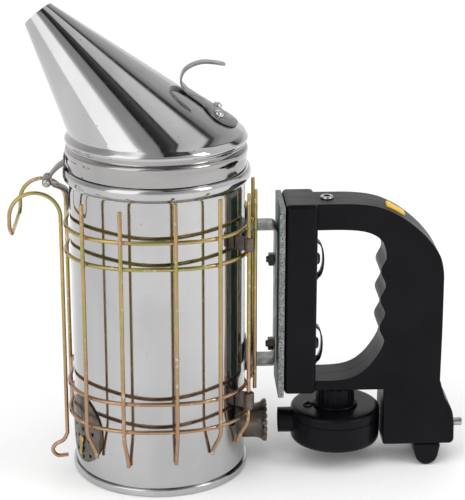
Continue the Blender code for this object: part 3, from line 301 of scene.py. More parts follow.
YELLOW = moulded_plastic("yellow_plastic", (0.80, 0.50, 0.035), 0.38, 0.2, 0.9)
WRAP = moulded_plastic("cell_wrap", (0.05, 0.14, 0.07), 0.4, 0.05)
BOARD = board_face("teal_board")
BOARD_RIM = board_edge("teal_board_edge")


# ---------------------------------------------------------------- mesh helpers

def at(x, y, z):
    return Vector((x + AXIS_X, y, z)) * MM


def around(azimuth, radius, z):
    angle = math.radians(azimuth)
    return (radius * math.cos(angle), radius * math.sin(angle), z)


def turn(axis, degrees):
    return Matrix.Rotation(math.radians(degrees), 4, axis)


def linked(name, data, place=None):
    obj = bpy.data.objects.new(name, data)
    bpy.context.scene.collection.objects.link(obj)
    if place is not None:
        obj.matrix_world = place
    return obj


def from_bmesh(bm, place=None, fix=True):
    if fix:
        bmesh.ops.recalc_face_normals(bm, faces=bm.faces)
    mesh = bpy.data.meshes.new("piece")
    bm.to_mesh(mesh)
    bm.free()
    return linked("piece", mesh, place)


def baked(obj, weld=False):
    """The object as a plain mesh in world metres, with its modifiers applied."""
    bpy.context.view_layer.update()
    mesh = bpy.data.meshes.new_from_object(obj.evaluated_get(bpy.context.evaluated_depsgraph_get()))
    mesh.transform(obj.matrix_world)
    if weld:
        bm = bmesh.new()
        bm.from_mesh(mesh)
        bmesh.ops.remove_doubles(bm, verts=bm.verts, dist=0.000005)
        bmesh.ops.recalc_face_normals(bm, faces=bm.faces)
        bm.to_mesh(mesh)
        bm.free()
    bpy.data.objects.remove(obj, do_unlink=True)
    return linked("piece", mesh)


def combine(base, others, operation, solver="EXACT"):
    for other in others:
        modifier = base.modifiers.new(operation.lower(), "BOOLEAN")
        modifier.operation = operation
        modifier.solver = solver
        modifier.object = other
    base = baked(base)
    for other in others:
        bpy.data.objects.remove(other, do_unlink=True)
    return base


def cut(base, cutters, solver="EXACT"):
    return combine(base, cutters, "DIFFERENCE", solver)


def join(base, others, solver="EXACT"):
    return combine(base, others, "UNION", solver)


def merged(pieces):
    """Separate shells kept in one mesh."""
    bm = bmesh.new()
    for piece in pieces:
        piece = baked(piece)
        bm.from_mesh(piece.data)
        bpy.data.objects.remove(piece, do_unlink=True)
    return from_bmesh(bm)


def pot_frame(azimuth):
    return Matrix.Translation(at(0, 0, 0)) @ turn("Z", azimuth)


def box(low, high, place=None):
    size = [(h - l) * MM for l, h in zip(low, high)]
    centre = Vector([(l + h) / 2 for l, h in zip(low, high)]) * MM
    bm = bmesh.new()
    bmesh.ops.create_cube(bm, size=1.0, matrix=Matrix.Diagonal((*size, 1.0)))
    return from_bmesh(bm, (place or pot_frame(0)) @ Matrix.Translation(centre))


def rod(radius, start, end, sides=32):
    a, b = at(*start), at(*end)
    bm = bmesh.new()
    bmesh.ops.create_cone(bm, cap_ends=True, segments=sides, radius1=radius * MM,
                          radius2=radius * MM, depth=(b - a).length)
    facing = (b - a).to_track_quat("Z", "X").to_matrix().to_4x4()
    return from_bmesh(bm, Matrix.Translation((a + b) / 2) @ facing)


def turned(profile, place, steps=144, closed=False, warp=None):
    """A solid of revolution from (radius, height) pairs. The warp may move each point
    by its profile index and azimuth."""
    bm = bmesh.new()
    rings = []
    for index, (radius, height) in enumerate(profile):
        if radius < 1e-6:
            rings.append([bm.verts.new((0, 0, height * MM))] * steps)
            continue
        ring = []
        for i in range(steps):
            angle = 2 * math.pi * i / steps
            r, h = warp(index, angle, radius, height) if warp else (radius, height)
            ring.append(bm.verts.new((r * MM * math.cos(angle), r * MM * math.sin(angle), h * MM)))
        rings.append(ring)
    pairs = list(zip(rings, rings[1:]))
    if closed:
        pairs.append((rings[-1], rings[0]))
    for upper, lower in pairs:
        for i in range(steps):
            j = (i + 1) % steps
            corners = []
            for vertex in (upper[i], lower[i], lower[j], upper[j]):
                if vertex not in corners:
                    corners.append(vertex)
            if len(corners) > 2:
                bm.faces.new(corners)
    return from_bmesh(bm, place)


def on_axis(x, y, z, axis="Z"):
    place = {"X": turn("Y", 90), "Y": turn("X", -90), "Z": Matrix()}[axis]
    return Matrix.Translation(at(x, y, z)) @ place


def arc(centre_x, centre_z, radius, start, end, steps):
    return [(centre_x + radius * math.cos(math.radians(start + (end - start) * i / steps)),
             centre_z + radius * math.sin(math.radians(start + (end - start) * i / steps)))
            for i in range(steps + 1)]


def smooth_path(points, steps):
    """Points on a smooth curve through the given ones, ends included."""
    vectors = [Vector(p) for p in points]
    padded = [2 * vectors[0] - vectors[1]] + vectors + [2 * vectors[-1] - vectors[-2]]
    result = []
    for a, b, c, d in zip(padded, padded[1:], padded[2:], padded[3:]):
        for i in range(steps):
            t = i / steps
            result.append(0.5 * (2 * b + (c - a) * t + (2 * a - 5 * b + 4 * c - d) * t ** 2
                                 + (3 * b - a - 3 * c + d) * t ** 3))
    result.append(vectors[-1])
    return [tuple(v) for v in result]


def prism(outlines, y_low, y_high):
    curve = bpy.data.curves.new("outline", "CURVE")
    curve.dimensions = "2D"
    curve.fill_mode = "BOTH"
    curve.extrude = (y_high - y_low) / 2 * MM
    for outline in outlines:
        spline = curve.splines.new("POLY")
        spline.points.add(len(outline) - 1)
        for point, (x, z) in zip(spline.points, outline):
            point.co = ((x + AXIS_X) * MM, z * MM, 0, 1)
        spline.use_cyclic_u = True
    place = Matrix.Translation((0, (y_low + y_high) / 2 * MM, 0)) @ turn("X", 90)
    obj = baked(linked("piece", curve, place), weld=True)
    bm = bmesh.new()
    bm.from_mesh(obj.data)
    bmesh.ops.dissolve_limit(bm, angle_limit=math.radians(0.2), verts=bm.verts, edges=bm.edges)
    bm.to_mesh(obj.data)
    bm.free()
    return obj


def bevelled(obj, width, segments=4, angle=30.0):
    bevel = obj.modifiers.new("rounded_edges", "BEVEL")
    bevel.width = width * MM
    bevel.segments = segments
    bevel.limit_method = "ANGLE"
    bevel.angle_limit = math.radians(angle)
    bevel.harden_normals = False
    return baked(obj)


def strip(points, half_width, thickness, edge=0.25):
    """A bent flat strip along an (x, z) path, with softened edges."""
    widths = half_width if isinstance(half_width, list) else [half_width] * len(points)
    bm = bmesh.new()
    near = [bm.verts.new(at(x, -w, z)) for (x, z), w in zip(points, widths)]
    far = [bm.verts.new(at(x, w, z)) for (x, z), w in zip(points, widths)]
    for i in range(len(points) - 1):
        bm.faces.new((near[i], near[i + 1], far[i + 1], far[i]))
    obj = from_bmesh(bm)
    solidify = obj.modifiers.new("sheet", "SOLIDIFY")
    solidify.thickness = thickness * MM
    solidify.offset = 0
    solidify.use_even_offset = True
    return bevelled(baked(obj), edge, 2, 50)


def sheet(rows, closed, thickness, offset, edge=0.0):
    bm = bmesh.new()
    lines = [[bm.verts.new(at(*point)) for point in row] for row in rows]
    for upper, lower in zip(lines, lines[1:]):
        for i in range(len(upper) if closed else len(upper) - 1):
            j = (i + 1) % len(upper)
            bm.faces.new((upper[i], lower[i], lower[j], upper[j]))
    obj = from_bmesh(bm, fix=False)
    solidify = obj.modifiers.new("sheet", "SOLIDIFY")
    solidify.thickness = thickness * MM
    solidify.offset = offset
    obj = baked(obj, weld=True)
    return bevelled(obj, edge, 2, 60) if edge else obj


def piece(obj, name, material, slot, body, *nodes, angle=32.0):
    """Name a finished mesh, give it its finish, and put it in its node's place."""
    obj.name = name
    obj.data.name = name
    obj.data.shade_smooth()
    obj.data.set_sharp_from_angle(angle=math.radians(angle))
    if material is not None:
        obj.data.materials.clear()
        obj.data.materials.append(material)
    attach(obj, body)
    if nodes:
        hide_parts(*nodes)
    return obj


def wire(name, points, *nodes):
    """A round bent wire with flat end caps, their edges softened."""
    curve = bpy.data.curves.new(name, "CURVE")
    curve.dimensions = "3D"
    curve.bevel_depth = DRAWN_WIRE * MM
    curve.bevel_resolution = 4
    curve.use_fill_caps = True
    spline = curve.splines.new("POLY")
    spline.points.add(len(points) - 1)
    for point, place in zip(spline.points, points):
        point.co = (*at(*place), 1)
    obj = bevelled(baked(linked("piece", curve), weld=True), 0.3, 2, 60)
    return piece(obj, name, WIRE_FINISH, "passivated_wire", "pot_and_handle", *nodes, angle=50)


def rivet_profile(head_radius, head_height, shank, grip):
    dome = [(head_radius * math.sin(math.radians(a)), head_height * math.cos(math.radians(a)))
            for a in range(0, 91, 10)]
    return dome + [(head_radius, -0.02), (shank, -0.02), (shank, -grip), (0, -grip)]


# ---------------------------------------------------------------- fire pot

def rim_profile():
    """The rolled rim's outside, from its top down to the wall."""
    return smooth_path([(51.0, RIM_TOP), (52.3, RIM_TOP - 0.25), (53.1, RIM_TOP - 1.1),
                        (RIM_RADIUS, RIM_TOP - 2.5), (RIM_RADIUS, RIM_TOP - 4.3), (53.3, RIM_TOP - 5.6),
                        (52.4, RIM_TOP - 6.8), (51.1, RIM_TOP - 7.6), (50.25, RIM_TOP - 8.3),
                        (POT_RADIUS, RIM_TOP - 9.4)], 3)


def fire_pot():
    inner = POT_RADIUS - 0.7
    wall = [(POT_RADIUS, 172 - 169.5 * i / 24) for i in range(25)]
    profile = [(inner, 183.3), (inner + 0.5, RIM_TOP)] + rim_profile() + wall
    profile += [(inner, 2.5), (inner, 90)]
    pot = turned(profile, on_axis(0, 0, 0), 180, closed=True)
    x, y, z = around(VENT_AZIMUTH, POT_RADIUS, VENT_PIVOT)
    pot = cut(pot, [rod(12.0, (0.8 * x, 0.8 * y, z), (1.2 * x, 1.2 * y, z)),
                    rod(10.5, (42, 0, INLET_HEIGHT), (58, 0, INLET_HEIGHT))])
    piece(pot, "fire_pot", MIRROR, "mirror_steel", "pot_and_handle", "fire_pot_shell", angle=28)
    pan = [(0, 2.2), (50.3, 2.2), (50.3, 4.3)] + smooth_path(
        [(50.5, 4.4), (51.2, 4.3), (51.6, 3.8), (51.7, 3.0), (51.7, 1.0), (51.5, 0.3), (51.0, 0),
         (49.4, 0), (49.0, 0.4), (48.8, 1.4)], 2) + [(0, 1.4)]
    pan = [(radius, max(height, 0.0)) for radius, height in pan]
    piece(turned(pan, on_axis(0, 0, 0), 160), "pot_base", MIRROR, "dull_steel", "pot_and_handle",
          "base_pan")


def inlet_tube():
    """The turned inlet: its flared lip is notched all round."""
    length = box_mm("air_inlet_tube")[1].x - AXIS_X - 47.0

    def notch(index, angle, radius, height):
        if radius > 11.6 and height > length - 2.6:
            bite = max(0.0, math.sin(angle * 18)) ** 0.4
            return radius - 1.1 * bite, height - (0.5 * bite if height > length - 0.8 else 0)
        return radius, height
    outside = smooth_path([(10.2, 0), (10.2, 9.0), (10.6, 11.4), (11.3, 13.0), (12.3, 14.1),
                           (12.6, 14.8), (12.6, length - 0.3), (12.3, length)], 3)
    inside = smooth_path([(11.9, length), (11.4, length - 1.0), (10.4, 13.2), (9.4, 9.5),
                          (9.4, 0)], 3)
    tube = turned(outside + inside, on_axis(47.0, 0, INLET_HEIGHT, "X"), 216, True, notch)
    piece(tube, "inlet_tube", STAINED, "dull_steel", "pot_and_handle", "air_inlet_tube")


def vent_frame():
    return pot_frame(VENT_AZIMUTH) @ Matrix.Translation((0, 0, VENT_PIVOT * MM)) @ turn("Y", 90)


def vent_ports(radius, count, ring, low, high):
    ports = []
    for i in range(count):
        bm = bmesh.new()
        bmesh.ops.create_cone(bm, cap_ends=True, segments=20, radius1=radius * MM,
                              radius2=radius * MM, depth=(high - low) * MM)
        ports.append(from_bmesh(bm, vent_frame() @ turn("Z", 360.0 * i / count)
                                @ Matrix.Translation((ring * MM, 0, (low + high) / 2 * MM))))
    return ports


def vent():
    inner, outer = POT_RADIUS + GAP, POT_RADIUS + GAP + 0.8
    band = turned([(outer, 56), (outer, 8), (inner, 8), (inner, 56)], on_axis(0, 0, 0), 180, True)
    x, y, z = around(VENT_PLATE_AZIMUTH, POT_RADIUS, VENT_HEIGHT)
    outline = rod(VENT_RADIUS, (0.6 * x, 0.6 * y, z), (1.3 * x, 1.3 * y, z), 96)
    outline.matrix_world @= Matrix.Diagonal((1, VENT_PLATE_NARROWING, 1, 1))
    disc = combine(band, [outline], "INTERSECT")
    disc = cut(disc, vent_ports(1.2, 4, 6.0, 44, 56) + vent_ports(1.2, 9, 11.5, 44, 56)
               + vent_ports(1.8, 1, 0.0, 44, 56))
    disc = bevelled(disc, 0.18, 2, 50)
    piece(disc, "vent_plate", VENT_STEEL, "dull_steel", "pot_and_handle", "vent_disc")
    lever_low, lever_top = outer + GAP, outer + GAP + 0.8
    head = [(2.2 * math.sin(math.radians(a)), lever_top + 1.0 * math.cos(math.radians(a)))
            for a in range(0, 91, 15)]
    profile = head + [(1.5, lever_top - 0.05), (1.5, 47.6), (10.0, 47.6), (10.0, 46.8), (0, 46.8)]
    shutter = turned(profile, vent_frame(), 48)
    blade = box((-1.3, -1.2, lever_low), (10.5, 1.2, lever_top), vent_frame() @ turn("Z", -12))
    shutter = cut(join(shutter, [bevelled(blade, 0.5, 3)]), vent_ports(1.6, 4, 6.0, 45, 49))
    piece(shutter, "vent_lever", BRASS, "brass", "shutter", "vent_shutter")


# ---------------------------------------------------------------- lid

def ring_point(centre_x, centre_z, radius, tilt, azimuth):
    lean, angle = math.radians(tilt), math.radians(azimuth)
    along = radius * math.cos(angle)
    return Vector((centre_x + along * math.cos(lean), radius * math.sin(angle),
                   centre_z + along * math.sin(lean)))


def spout_point(down, azimuth):
    mouth = ring_point(*CONE_MOUTH, MOUTH_TILT, azimuth)
    tilt = math.radians(MOUTH_TILT)
    mouth -= Vector((-math.sin(tilt), 0, math.cos(tilt))) * MOUTH_LEAN * math.sin(math.radians(azimuth))
    return mouth.lerp(ring_point(*CONE_FOOT, 0.0, azimuth), down)


def spout_normal(down, azimuth):
    along = spout_point(down + 0.01, azimuth) - spout_point(down - 0.01, azimuth)
    across = spout_point(down, azimuth + 1) - spout_point(down, azimuth - 1)
    return along.cross(across).normalized()


def spout():
    azimuths = [2.0 * i for i in range(180)]
    rows = [[spout_point(i / 24, azimuth) for azimuth in azimuths] for i in range(25)]
    foot = smooth_path([(SEAM_RADIUS - 2.1, 4.6), (SEAM_RADIUS - 1.3, 3.6), (SEAM_RADIUS - 0.5, 2.5),
                        (SEAM_RADIUS - 0.05, 1.6), (SEAM_RADIUS, 0.8), (SEAM_RADIUS - 0.4, 0.0)], 3)
    for radius, z in foot:
        rows.append([ring_point(0, SEAM_BOTTOM + z, radius, 0, azimuth) for azimuth in azimuths])
    cone = sheet(rows, True, 0.6, -1)
    piece(cone, "spout", MIRROR_LID, "mirror_steel", "lid", "lid_cone", angle=30)


def collar():
    inner = GROOVE_RADIUS - 0.7
    side = [(50.4, 200.6), (50.4, 198.6)] + smooth_path(
        [(50.35, 198.2), (50.1, 197.6), (GROOVE_RADIUS, 197.0), (GROOVE_RADIUS, 196.4), (50.5, 195.7),
         (51.3, 195.0), (51.75, 194.2), (51.8, 193.2), (51.7, 192.2), (51.4, 191.3),
         (SKIRT_RADIUS, 190.6)], 3)
    side += [(SKIRT_RADIUS, 189), (SKIRT_RADIUS, 187), (SKIRT_RADIUS, 185),
             (SKIRT_RADIUS - 0.1, SKIRT_BOTTOM)]
    profile = side + [(inner, SKIRT_BOTTOM), (inner, 192), (inner, 200.6)]
    piece(turned(profile, on_axis(0, 0, 0), 180, True), "lid_band", MIRROR_BAND, "mirror_steel", "lid",
          "lid_collar", angle=28)


def tab():
    """The finger tab: a plate bent to the spout and a tongue that curls up and over."""
    plate = smooth_path([(0.968, 5.0), (0.958, 12.5), (0.94, 18.0), (0.905, 21.5), (0.865, 21.5),
                         (0.83, 18.0), (0.80, 14.0), (0.76, 12.3), (0.71, 12.0)], 4)
    tongue = smooth_path([(16.4, 227.6), (14.6, 230.0), (14.1, 232.6), (15.6, 236.9), (19.5, 240.2),
                          (26.0, 242.3), (33.0, 242.0), (39.0, 240.8)], 5)
    shares = [i / 8 - 1 for i in range(17)]
    lift = GAP + 0.15 + 0.5
    rows = [[spout_point(down, share * reach) + lift * spout_normal(down, share * reach)
             for share in shares] for down, reach in plate]
    for i, (x, z) in enumerate(tongue):
        u = i / (len(tongue) - 1)
        half = 4.0 + 3.4 * (1 - u) ** 3
        if u > 0.9:
            half *= math.sqrt(max(1 - ((u - 0.9) / 0.115) ** 2, 0.0))
        rows.append([Vector((x, share * half, z)) for share in shares])
    holes = []
    for side in (-1, 1):
        point, normal = spout_point(0.872, side * 13.0), spout_normal(0.872, side * 13.0)
        holes.append(rod(1.35, point - 1 * normal, point + 4 * normal, 20))
    plate = cut(sheet(rows[::-1], False, 1.0, 0), holes)
    piece(bevelled(plate, 0.22, 2, 50), "lid_tab", DULL, "dull_steel", "lid", "finger_tab")
    for name, side in (("near", -1), ("far", 1)):
        point, normal = spout_point(0.872, side * 13.0), spout_normal(0.872, side * 13.0)
        facing = normal.to_track_quat("Z", "Y").to_matrix().to_4x4()
        place = Matrix.Translation(at(*(point + (lift + 0.5 + GAP - 0.2) * normal))) @ facing
        piece(turned(rivet_profile(2.9, 2.3, 1.0, 3.0), place, 36), "tab_rivet_head_" + name, RIVET,
              "dull_steel", "lid", "tab_rivet_" + name)


def hinge():
    def knuckles(low, high):
        tube = turned([(1.75, low), (1.75, high), (2.4, high), (2.6, high - 0.25), (2.6, low + 0.25),
                       (2.4, low)], on_axis(HINGE_X, 0, HINGE_Z, "Y"), 40, True)
        return tube
    face = -(SKIRT_RADIUS + GAP + 0.5)
    path = smooth_path([(HINGE_X + 1.0, HINGE_Z + 1.9), (-57.0, 182.0), (face - 1.6, 184.6),
                        (face - 0.3, 185.7), (face, 187.0), (face, 190.4)], 3)
    slot = box((HINGE_X - 4, -2.7, HINGE_Z - 4), (HINGE_X + 3.6, 2.7, HINGE_Z + 3.6))
    pin = rod(1.7, (HINGE_X, -12, HINGE_Z), (HINGE_X, 12, HINGE_Z))
    leaf = cut(strip(path, 6.5, 1.0), [slot, pin])
    leaf = merged([leaf, knuckles(-6.5, -2.7), knuckles(2.7, 6.5)])
    piece(leaf, "hinge_plate_lid", HINGE_STEEL, "dull_steel", "lid", "hinge_leaf_lid")
    face = -(POT_RADIUS + GAP + 0.5)
    path = smooth_path([(HINGE_X + 1.2, HINGE_Z - 1.8), (-58.0, 172.4), (-53.6, 170.5),
                        (face - 0.6, 168.9), (face, 167.0), (face, 158.5)], 3)
    sides = [box((HINGE_X - 4, side * 5 - 2.6, HINGE_Z - 5), (HINGE_X + 3.2, side * 5 + 2.6,
                                                              HINGE_Z + 4)) for side in (-1, 1)]
    pin = rod(1.7, (HINGE_X, -12, HINGE_Z), (HINGE_X, 12, HINGE_Z))
    leaf = cut(strip(path, 5.0, 1.0), sides + [pin, rod(1.3, (-57.6, 0, 168.0), (-55.4, 0, 175.0))])
    leaf = merged([leaf, knuckles(-2.4, 2.4)])
    piece(leaf, "hinge_plate_pot", HINGE_STEEL, "dull_steel", "pot_and_handle", "hinge_leaf_body")
    half = 6.8
    head = [(2.2 * math.sin(math.radians(a)), half + 0.9 * math.cos(math.radians(a)))
            for a in range(0, 91, 15)]
    profile = head + [(1.4, half), (1.4, -half)] + [(r, -h) for r, h in reversed(head)]
    piece(turned(profile, on_axis(HINGE_X, 0, HINGE_Z, "Y"), 32), "hinge_pin_round", BRIGHT,
          "dull_steel", "pot_and_handle", "hinge_pin")


# ---------------------------------------------------------------- wire guard

def ring_radius(azimuth):
    angle = math.radians(azimuth)
    spread = (abs(math.cos(angle)) / 53.4) ** 2.5 + (abs(math.sin(angle)) / 53.6) ** 2.5
    from_hinge = (azimuth % 360.0 - 180.0) / 13.0
    return spread ** (-1 / 2.5) - 1.9 * math.exp(-from_hinge ** 2)


def upright_radius(azimuth):
    return ring_radius(azimuth) + 2 * WIRE + GAP


def weld(azimuth, height):
    """A small run of weld metal where an upright crosses a ring."""
    bm = bmesh.new()
    bmesh.ops.create_icosphere(bm, subdivisions=3, radius=1.0)
    for vertex in bm.verts:
        ripple = 1 + 0.10 * math.sin(7 * vertex.co.z + azimuth) * math.cos(5 * vertex.co.y + height)
        vertex.co = Vector((vertex.co.x * 0.85, vertex.co.y * 1.5, vertex.co.z * 1.5)) * ripple * MM
    radius = (ring_radius(azimuth) + upright_radius(azimuth)) / 2
    return from_bmesh(bm, pot_frame(azimuth) @ Matrix.Translation((radius * MM, 0, height * MM)))


def guard():
    span = 360.0 - 2 * RING_OPENING
    for index, height in enumerate(RING_HEIGHTS):
        turns = [RING_OPENING + span * i / 150 for i in range(151)]
        wire("guard_hoop_%d" % (index + 1), [around(a, ring_radius(a), height) for a in turns],
             "guard_ring_%d" % (index + 1))
    lowest = RING_HEIGHTS[-1] - WIRE - 1.0
    for word, side in (("near", 1), ("far", -1)):
        rods = UPRIGHTS if side == 1 else UPRIGHTS[1:]
        for index, (azimuth, top, bottom) in enumerate(rods):
            azimuth *= side
            radius, foot = upright_radius(azimuth) - UPRIGHT_INSET, POT_RADIUS + GAP + WIRE + 0.2
            if abs(azimuth - VENT_AZIMUTH) < 28:
                foot += 0.8 + GAP
            points = [around(azimuth, radius, top), around(azimuth, radius, lowest + 1)]
            for i in range(13):
                t = i / 12
                ease = t * t * (3 - 2 * t)
                points.append(around(azimuth, radius + (foot - radius) * ease,
                                     lowest + (bottom - lowest) * t))
            wire("guard_bar_%s_%d" % (word, index + 1), points,
                 "guard_upright_%s_%d" % (word, index + 1))
        azimuth, top, bottom = END_UPRIGHT
        radius = upright_radius(azimuth)
        wire("guard_bar_end_" + word, [around(side * azimuth, radius, top),
                                       around(side * azimuth, radius, bottom)],
             "guard_end_" + word)
        azimuth = side * UPRIGHTS[-1][0]
        radius = upright_radius(azimuth)
        for place, low, high in (("upper", 140.6, 148.6), ("lower", 44.8, 54.6)):
            facing = pot_frame(azimuth) @ Matrix.Translation((radius * MM, 0, 0))
            sleeve = turned([(1.5, low), (1.5, high), (2.7, high), (3.0, high - 0.4), (3.0, low + 0.4),
                             (2.7, low)], facing, 48, True)
            tail = box((POT_RADIUS + 0.4 - radius, -0.6, low), (-2.0, 0.6, high), facing)
            seam = box((1.2, -0.25, low - 1), (4.0, 0.25, high + 1), facing @ turn("Z", 70))
            clip = merged([cut(sleeve, [seam]), bevelled(tail, 0.2, 2)])
            piece(clip, "wire_clip_%s_%s" % (word, place), STAINED, "dull_steel",
                  "pot_and_handle", "guard_clip_%s_%s" % (word, place))
    beads = []
    for azimuth, _, _ in UPRIGHTS:
        for side in ((1, -1) if azimuth != UPRIGHTS[0][0] else (1,)):
            beads += [weld(side * azimuth, height) for height in RING_HEIGHTS]
    for side in (1, -1):
        beads += [weld(side * (END_UPRIGHT[0] - 1.5), height) for height in RING_HEIGHTS[:3]]
    piece(merged(beads), "guard_welds", WIRE_FINISH, "passivated_wire", "pot_and_handle", angle=60)


def hook():
    """One wire: the near leg with its S-bend, over the hook, and down the far leg."""
    near_x, near_y, _ = around(-160.4, upright_radius(-160.4), 0)
    far_x, far_y, _ = around(156.0, upright_radius(156.0), 0)
    foot = [(near_x + 0.2, near_y, 13.0), (near_x - 5.6, near_y, 12.6), (near_x - 8.2, near_y, 14.6),
            (near_x - 8.6, near_y, 17.4), (near_x - 6.4, near_y, 20.2), (near_x - 2.4, near_y, 22.4),
            (near_x, near_y, 27.0)]
    reach = HOOK_LEFT + WIRE
    near_radius = (near_x - reach) / 2
    near_arch = [(x, near_y, z) for x, z in arc(near_x - near_radius, 158.8, near_radius, 0, 180, 40)]
    far_reach = reach + 3.2
    far_radius = (far_x - far_reach) / 2
    far_arch = [(x, far_y, z) for x, z in arc(far_x - far_radius, 156.0, far_radius, 0, 180, 40)]
    tip = smooth_path([near_arch[-1], (reach, near_y, 153.0), (reach + 0.8, near_y + 2.0, 149.6),
                       (reach + 1.2, near_y + 6.0, 148.6), (far_reach - 1.0, far_y - 6.0, 148.6),
                       (far_reach - 0.4, far_y - 2.0, 149.6), (far_reach, far_y, 152.6),
                       far_arch[-1]], 6)[1:-1]
    points = smooth_path(foot, 8) + near_arch + tip + far_arch[::-1] + [(far_x, far_y, 22.0)]
    wire("hook_wire", points, "hook_frame")


# ---------------------------------------------------------------- bracket and board

def bracket():
    wall, web, bend = POT_RADIUS + GAP + 0.6, BOARD_FACE - GAP - 0.6, 2.6
    top, low = 146.7, 63.3
    path = [(wall, top - 13)] + arc(wall + bend, top - bend, bend, 180, 90, 8)
    path += arc(web - bend, top - bend, bend, 90, 0, 8) + arc(web - bend, low + bend, bend, 0, -90, 8)
    path += arc(wall + bend, low + bend, bend, 270, 180, 8) + [(wall, low + 13)]
    piece(strip(path, 10.0, 1.2), "bracket_bar", BAR, "cast_metal", "pot_and_handle", "bracket_strap")
    low, high = box_mm("backing_board")
    board = box((low.x - AXIS_X, low.y, low.z), (high.x - AXIS_X, high.y, high.z))
    board = cut(board, [rod(2.3, (60, 0, z), (80, 0, z)) for z in BOLT_HEIGHTS])
    board = bevelled(board, 0.35, 3, 50)
    board.data.materials.append(BOARD)
    board.data.materials.append(BOARD_RIM)
    for face in board.data.polygons:
        face.material_index = 0 if abs(face.normal.x) > 0.8 else 1
    piece(board, "mount_board", None, "teal_board", "pot_and_handle", "backing_board")
    for word, height in zip(("upper", "lower"), BOLT_HEIGHTS):
        face = COLUMN_RIGHT + GAP + 0.4
        path = [(face, height - 12.4), (face + 0.9, height - 10.6)]
        path += [(face + 4.1 * math.cos(math.radians(a)) ** 0.8,
                  height + 10.6 * math.sin(math.radians(a))) for a in range(-65, 66, 5)]
        path += [(face + 0.9, height + 10.6), (face, height + 12.4)]
        piece(strip(path, 4.0, 0.8, 0.2), "bow_strip_" + word, BLACK_GLOSS, "black_plastic",
              "pot_and_handle", "bow_clip_" + word)


# ---------------------------------------------------------------- handle

def loop_outline():
    inside = COLUMN_RIGHT - 15
    shoulder = [(GRIP_RIGHT, 112), (164.6, 121), (161.8, 131.0), (153.8, 141.8), (143.2, 151.2),
                (133.5, 157.0), (124.0, 160.4), (112.0, 161.9), (100.0, HANDLE_TOP)]
    return ([(inside, HANDLE_BOTTOM), (GRIP_RIGHT, HANDLE_BOTTOM), (GRIP_RIGHT + 0.2, 84)]
            + smooth_path(shoulder, 6) + [(inside, HANDLE_TOP)])


def opening_outline():
    inside = COLUMN_RIGHT - 4
    upper = smooth_path([(inside, 146.6), (109.7, 146.4), (121.8, 144.2), (128.4, 139.4),
                         (130.6, 134.0)], 6)
    lower = smooth_path([(130.2, 74.6), (127.2, 69.0), (121.8, 61.8), (114.6, 56.4),
                         (105.0, 54.0), (inside, 53.6)], 6)
    grip = []
    for i in range(61):
        z = 130.0 - 52.0 * i / 60
        grip.append((129.6 + 1.5 * math.cos(2 * math.pi * (z - 112.5) / 17.4), z))
    return upper + grip + lower


def block_outline():
    back = smooth_path([(BLOCK_RIGHT, 26.0), (172.6, 34.0), (168.2, 42.4), (165.2, 52.6)], 8)
    return ([(BLOCK_LEFT, BLOCK_BOTTOM)]
            + arc(BLOCK_RIGHT - 3, BLOCK_BOTTOM + 3, 3, -90, 0, 8) + back + [(BLOCK_LEFT, 52.6)])


def button_frame():
    return Matrix.Translation(at(BUTTON_X, 0, BUTTON_Z)) @ turn("Y", -BUTTON_SLOPE)


def flared(block):
    """The block's sides drawn in toward its top, where they meet the grip."""
    narrow = (ARM_HALF - 0.1) / BLOCK_HALF
    for vertex in block.data.vertices:
        down = (BLOCK_TOP - vertex.co.z / MM) / (BLOCK_TOP - BLOCK_BOTTOM)
        vertex.co.y *= narrow + (1 - narrow) * min(max(down, 0), 1)
    return block


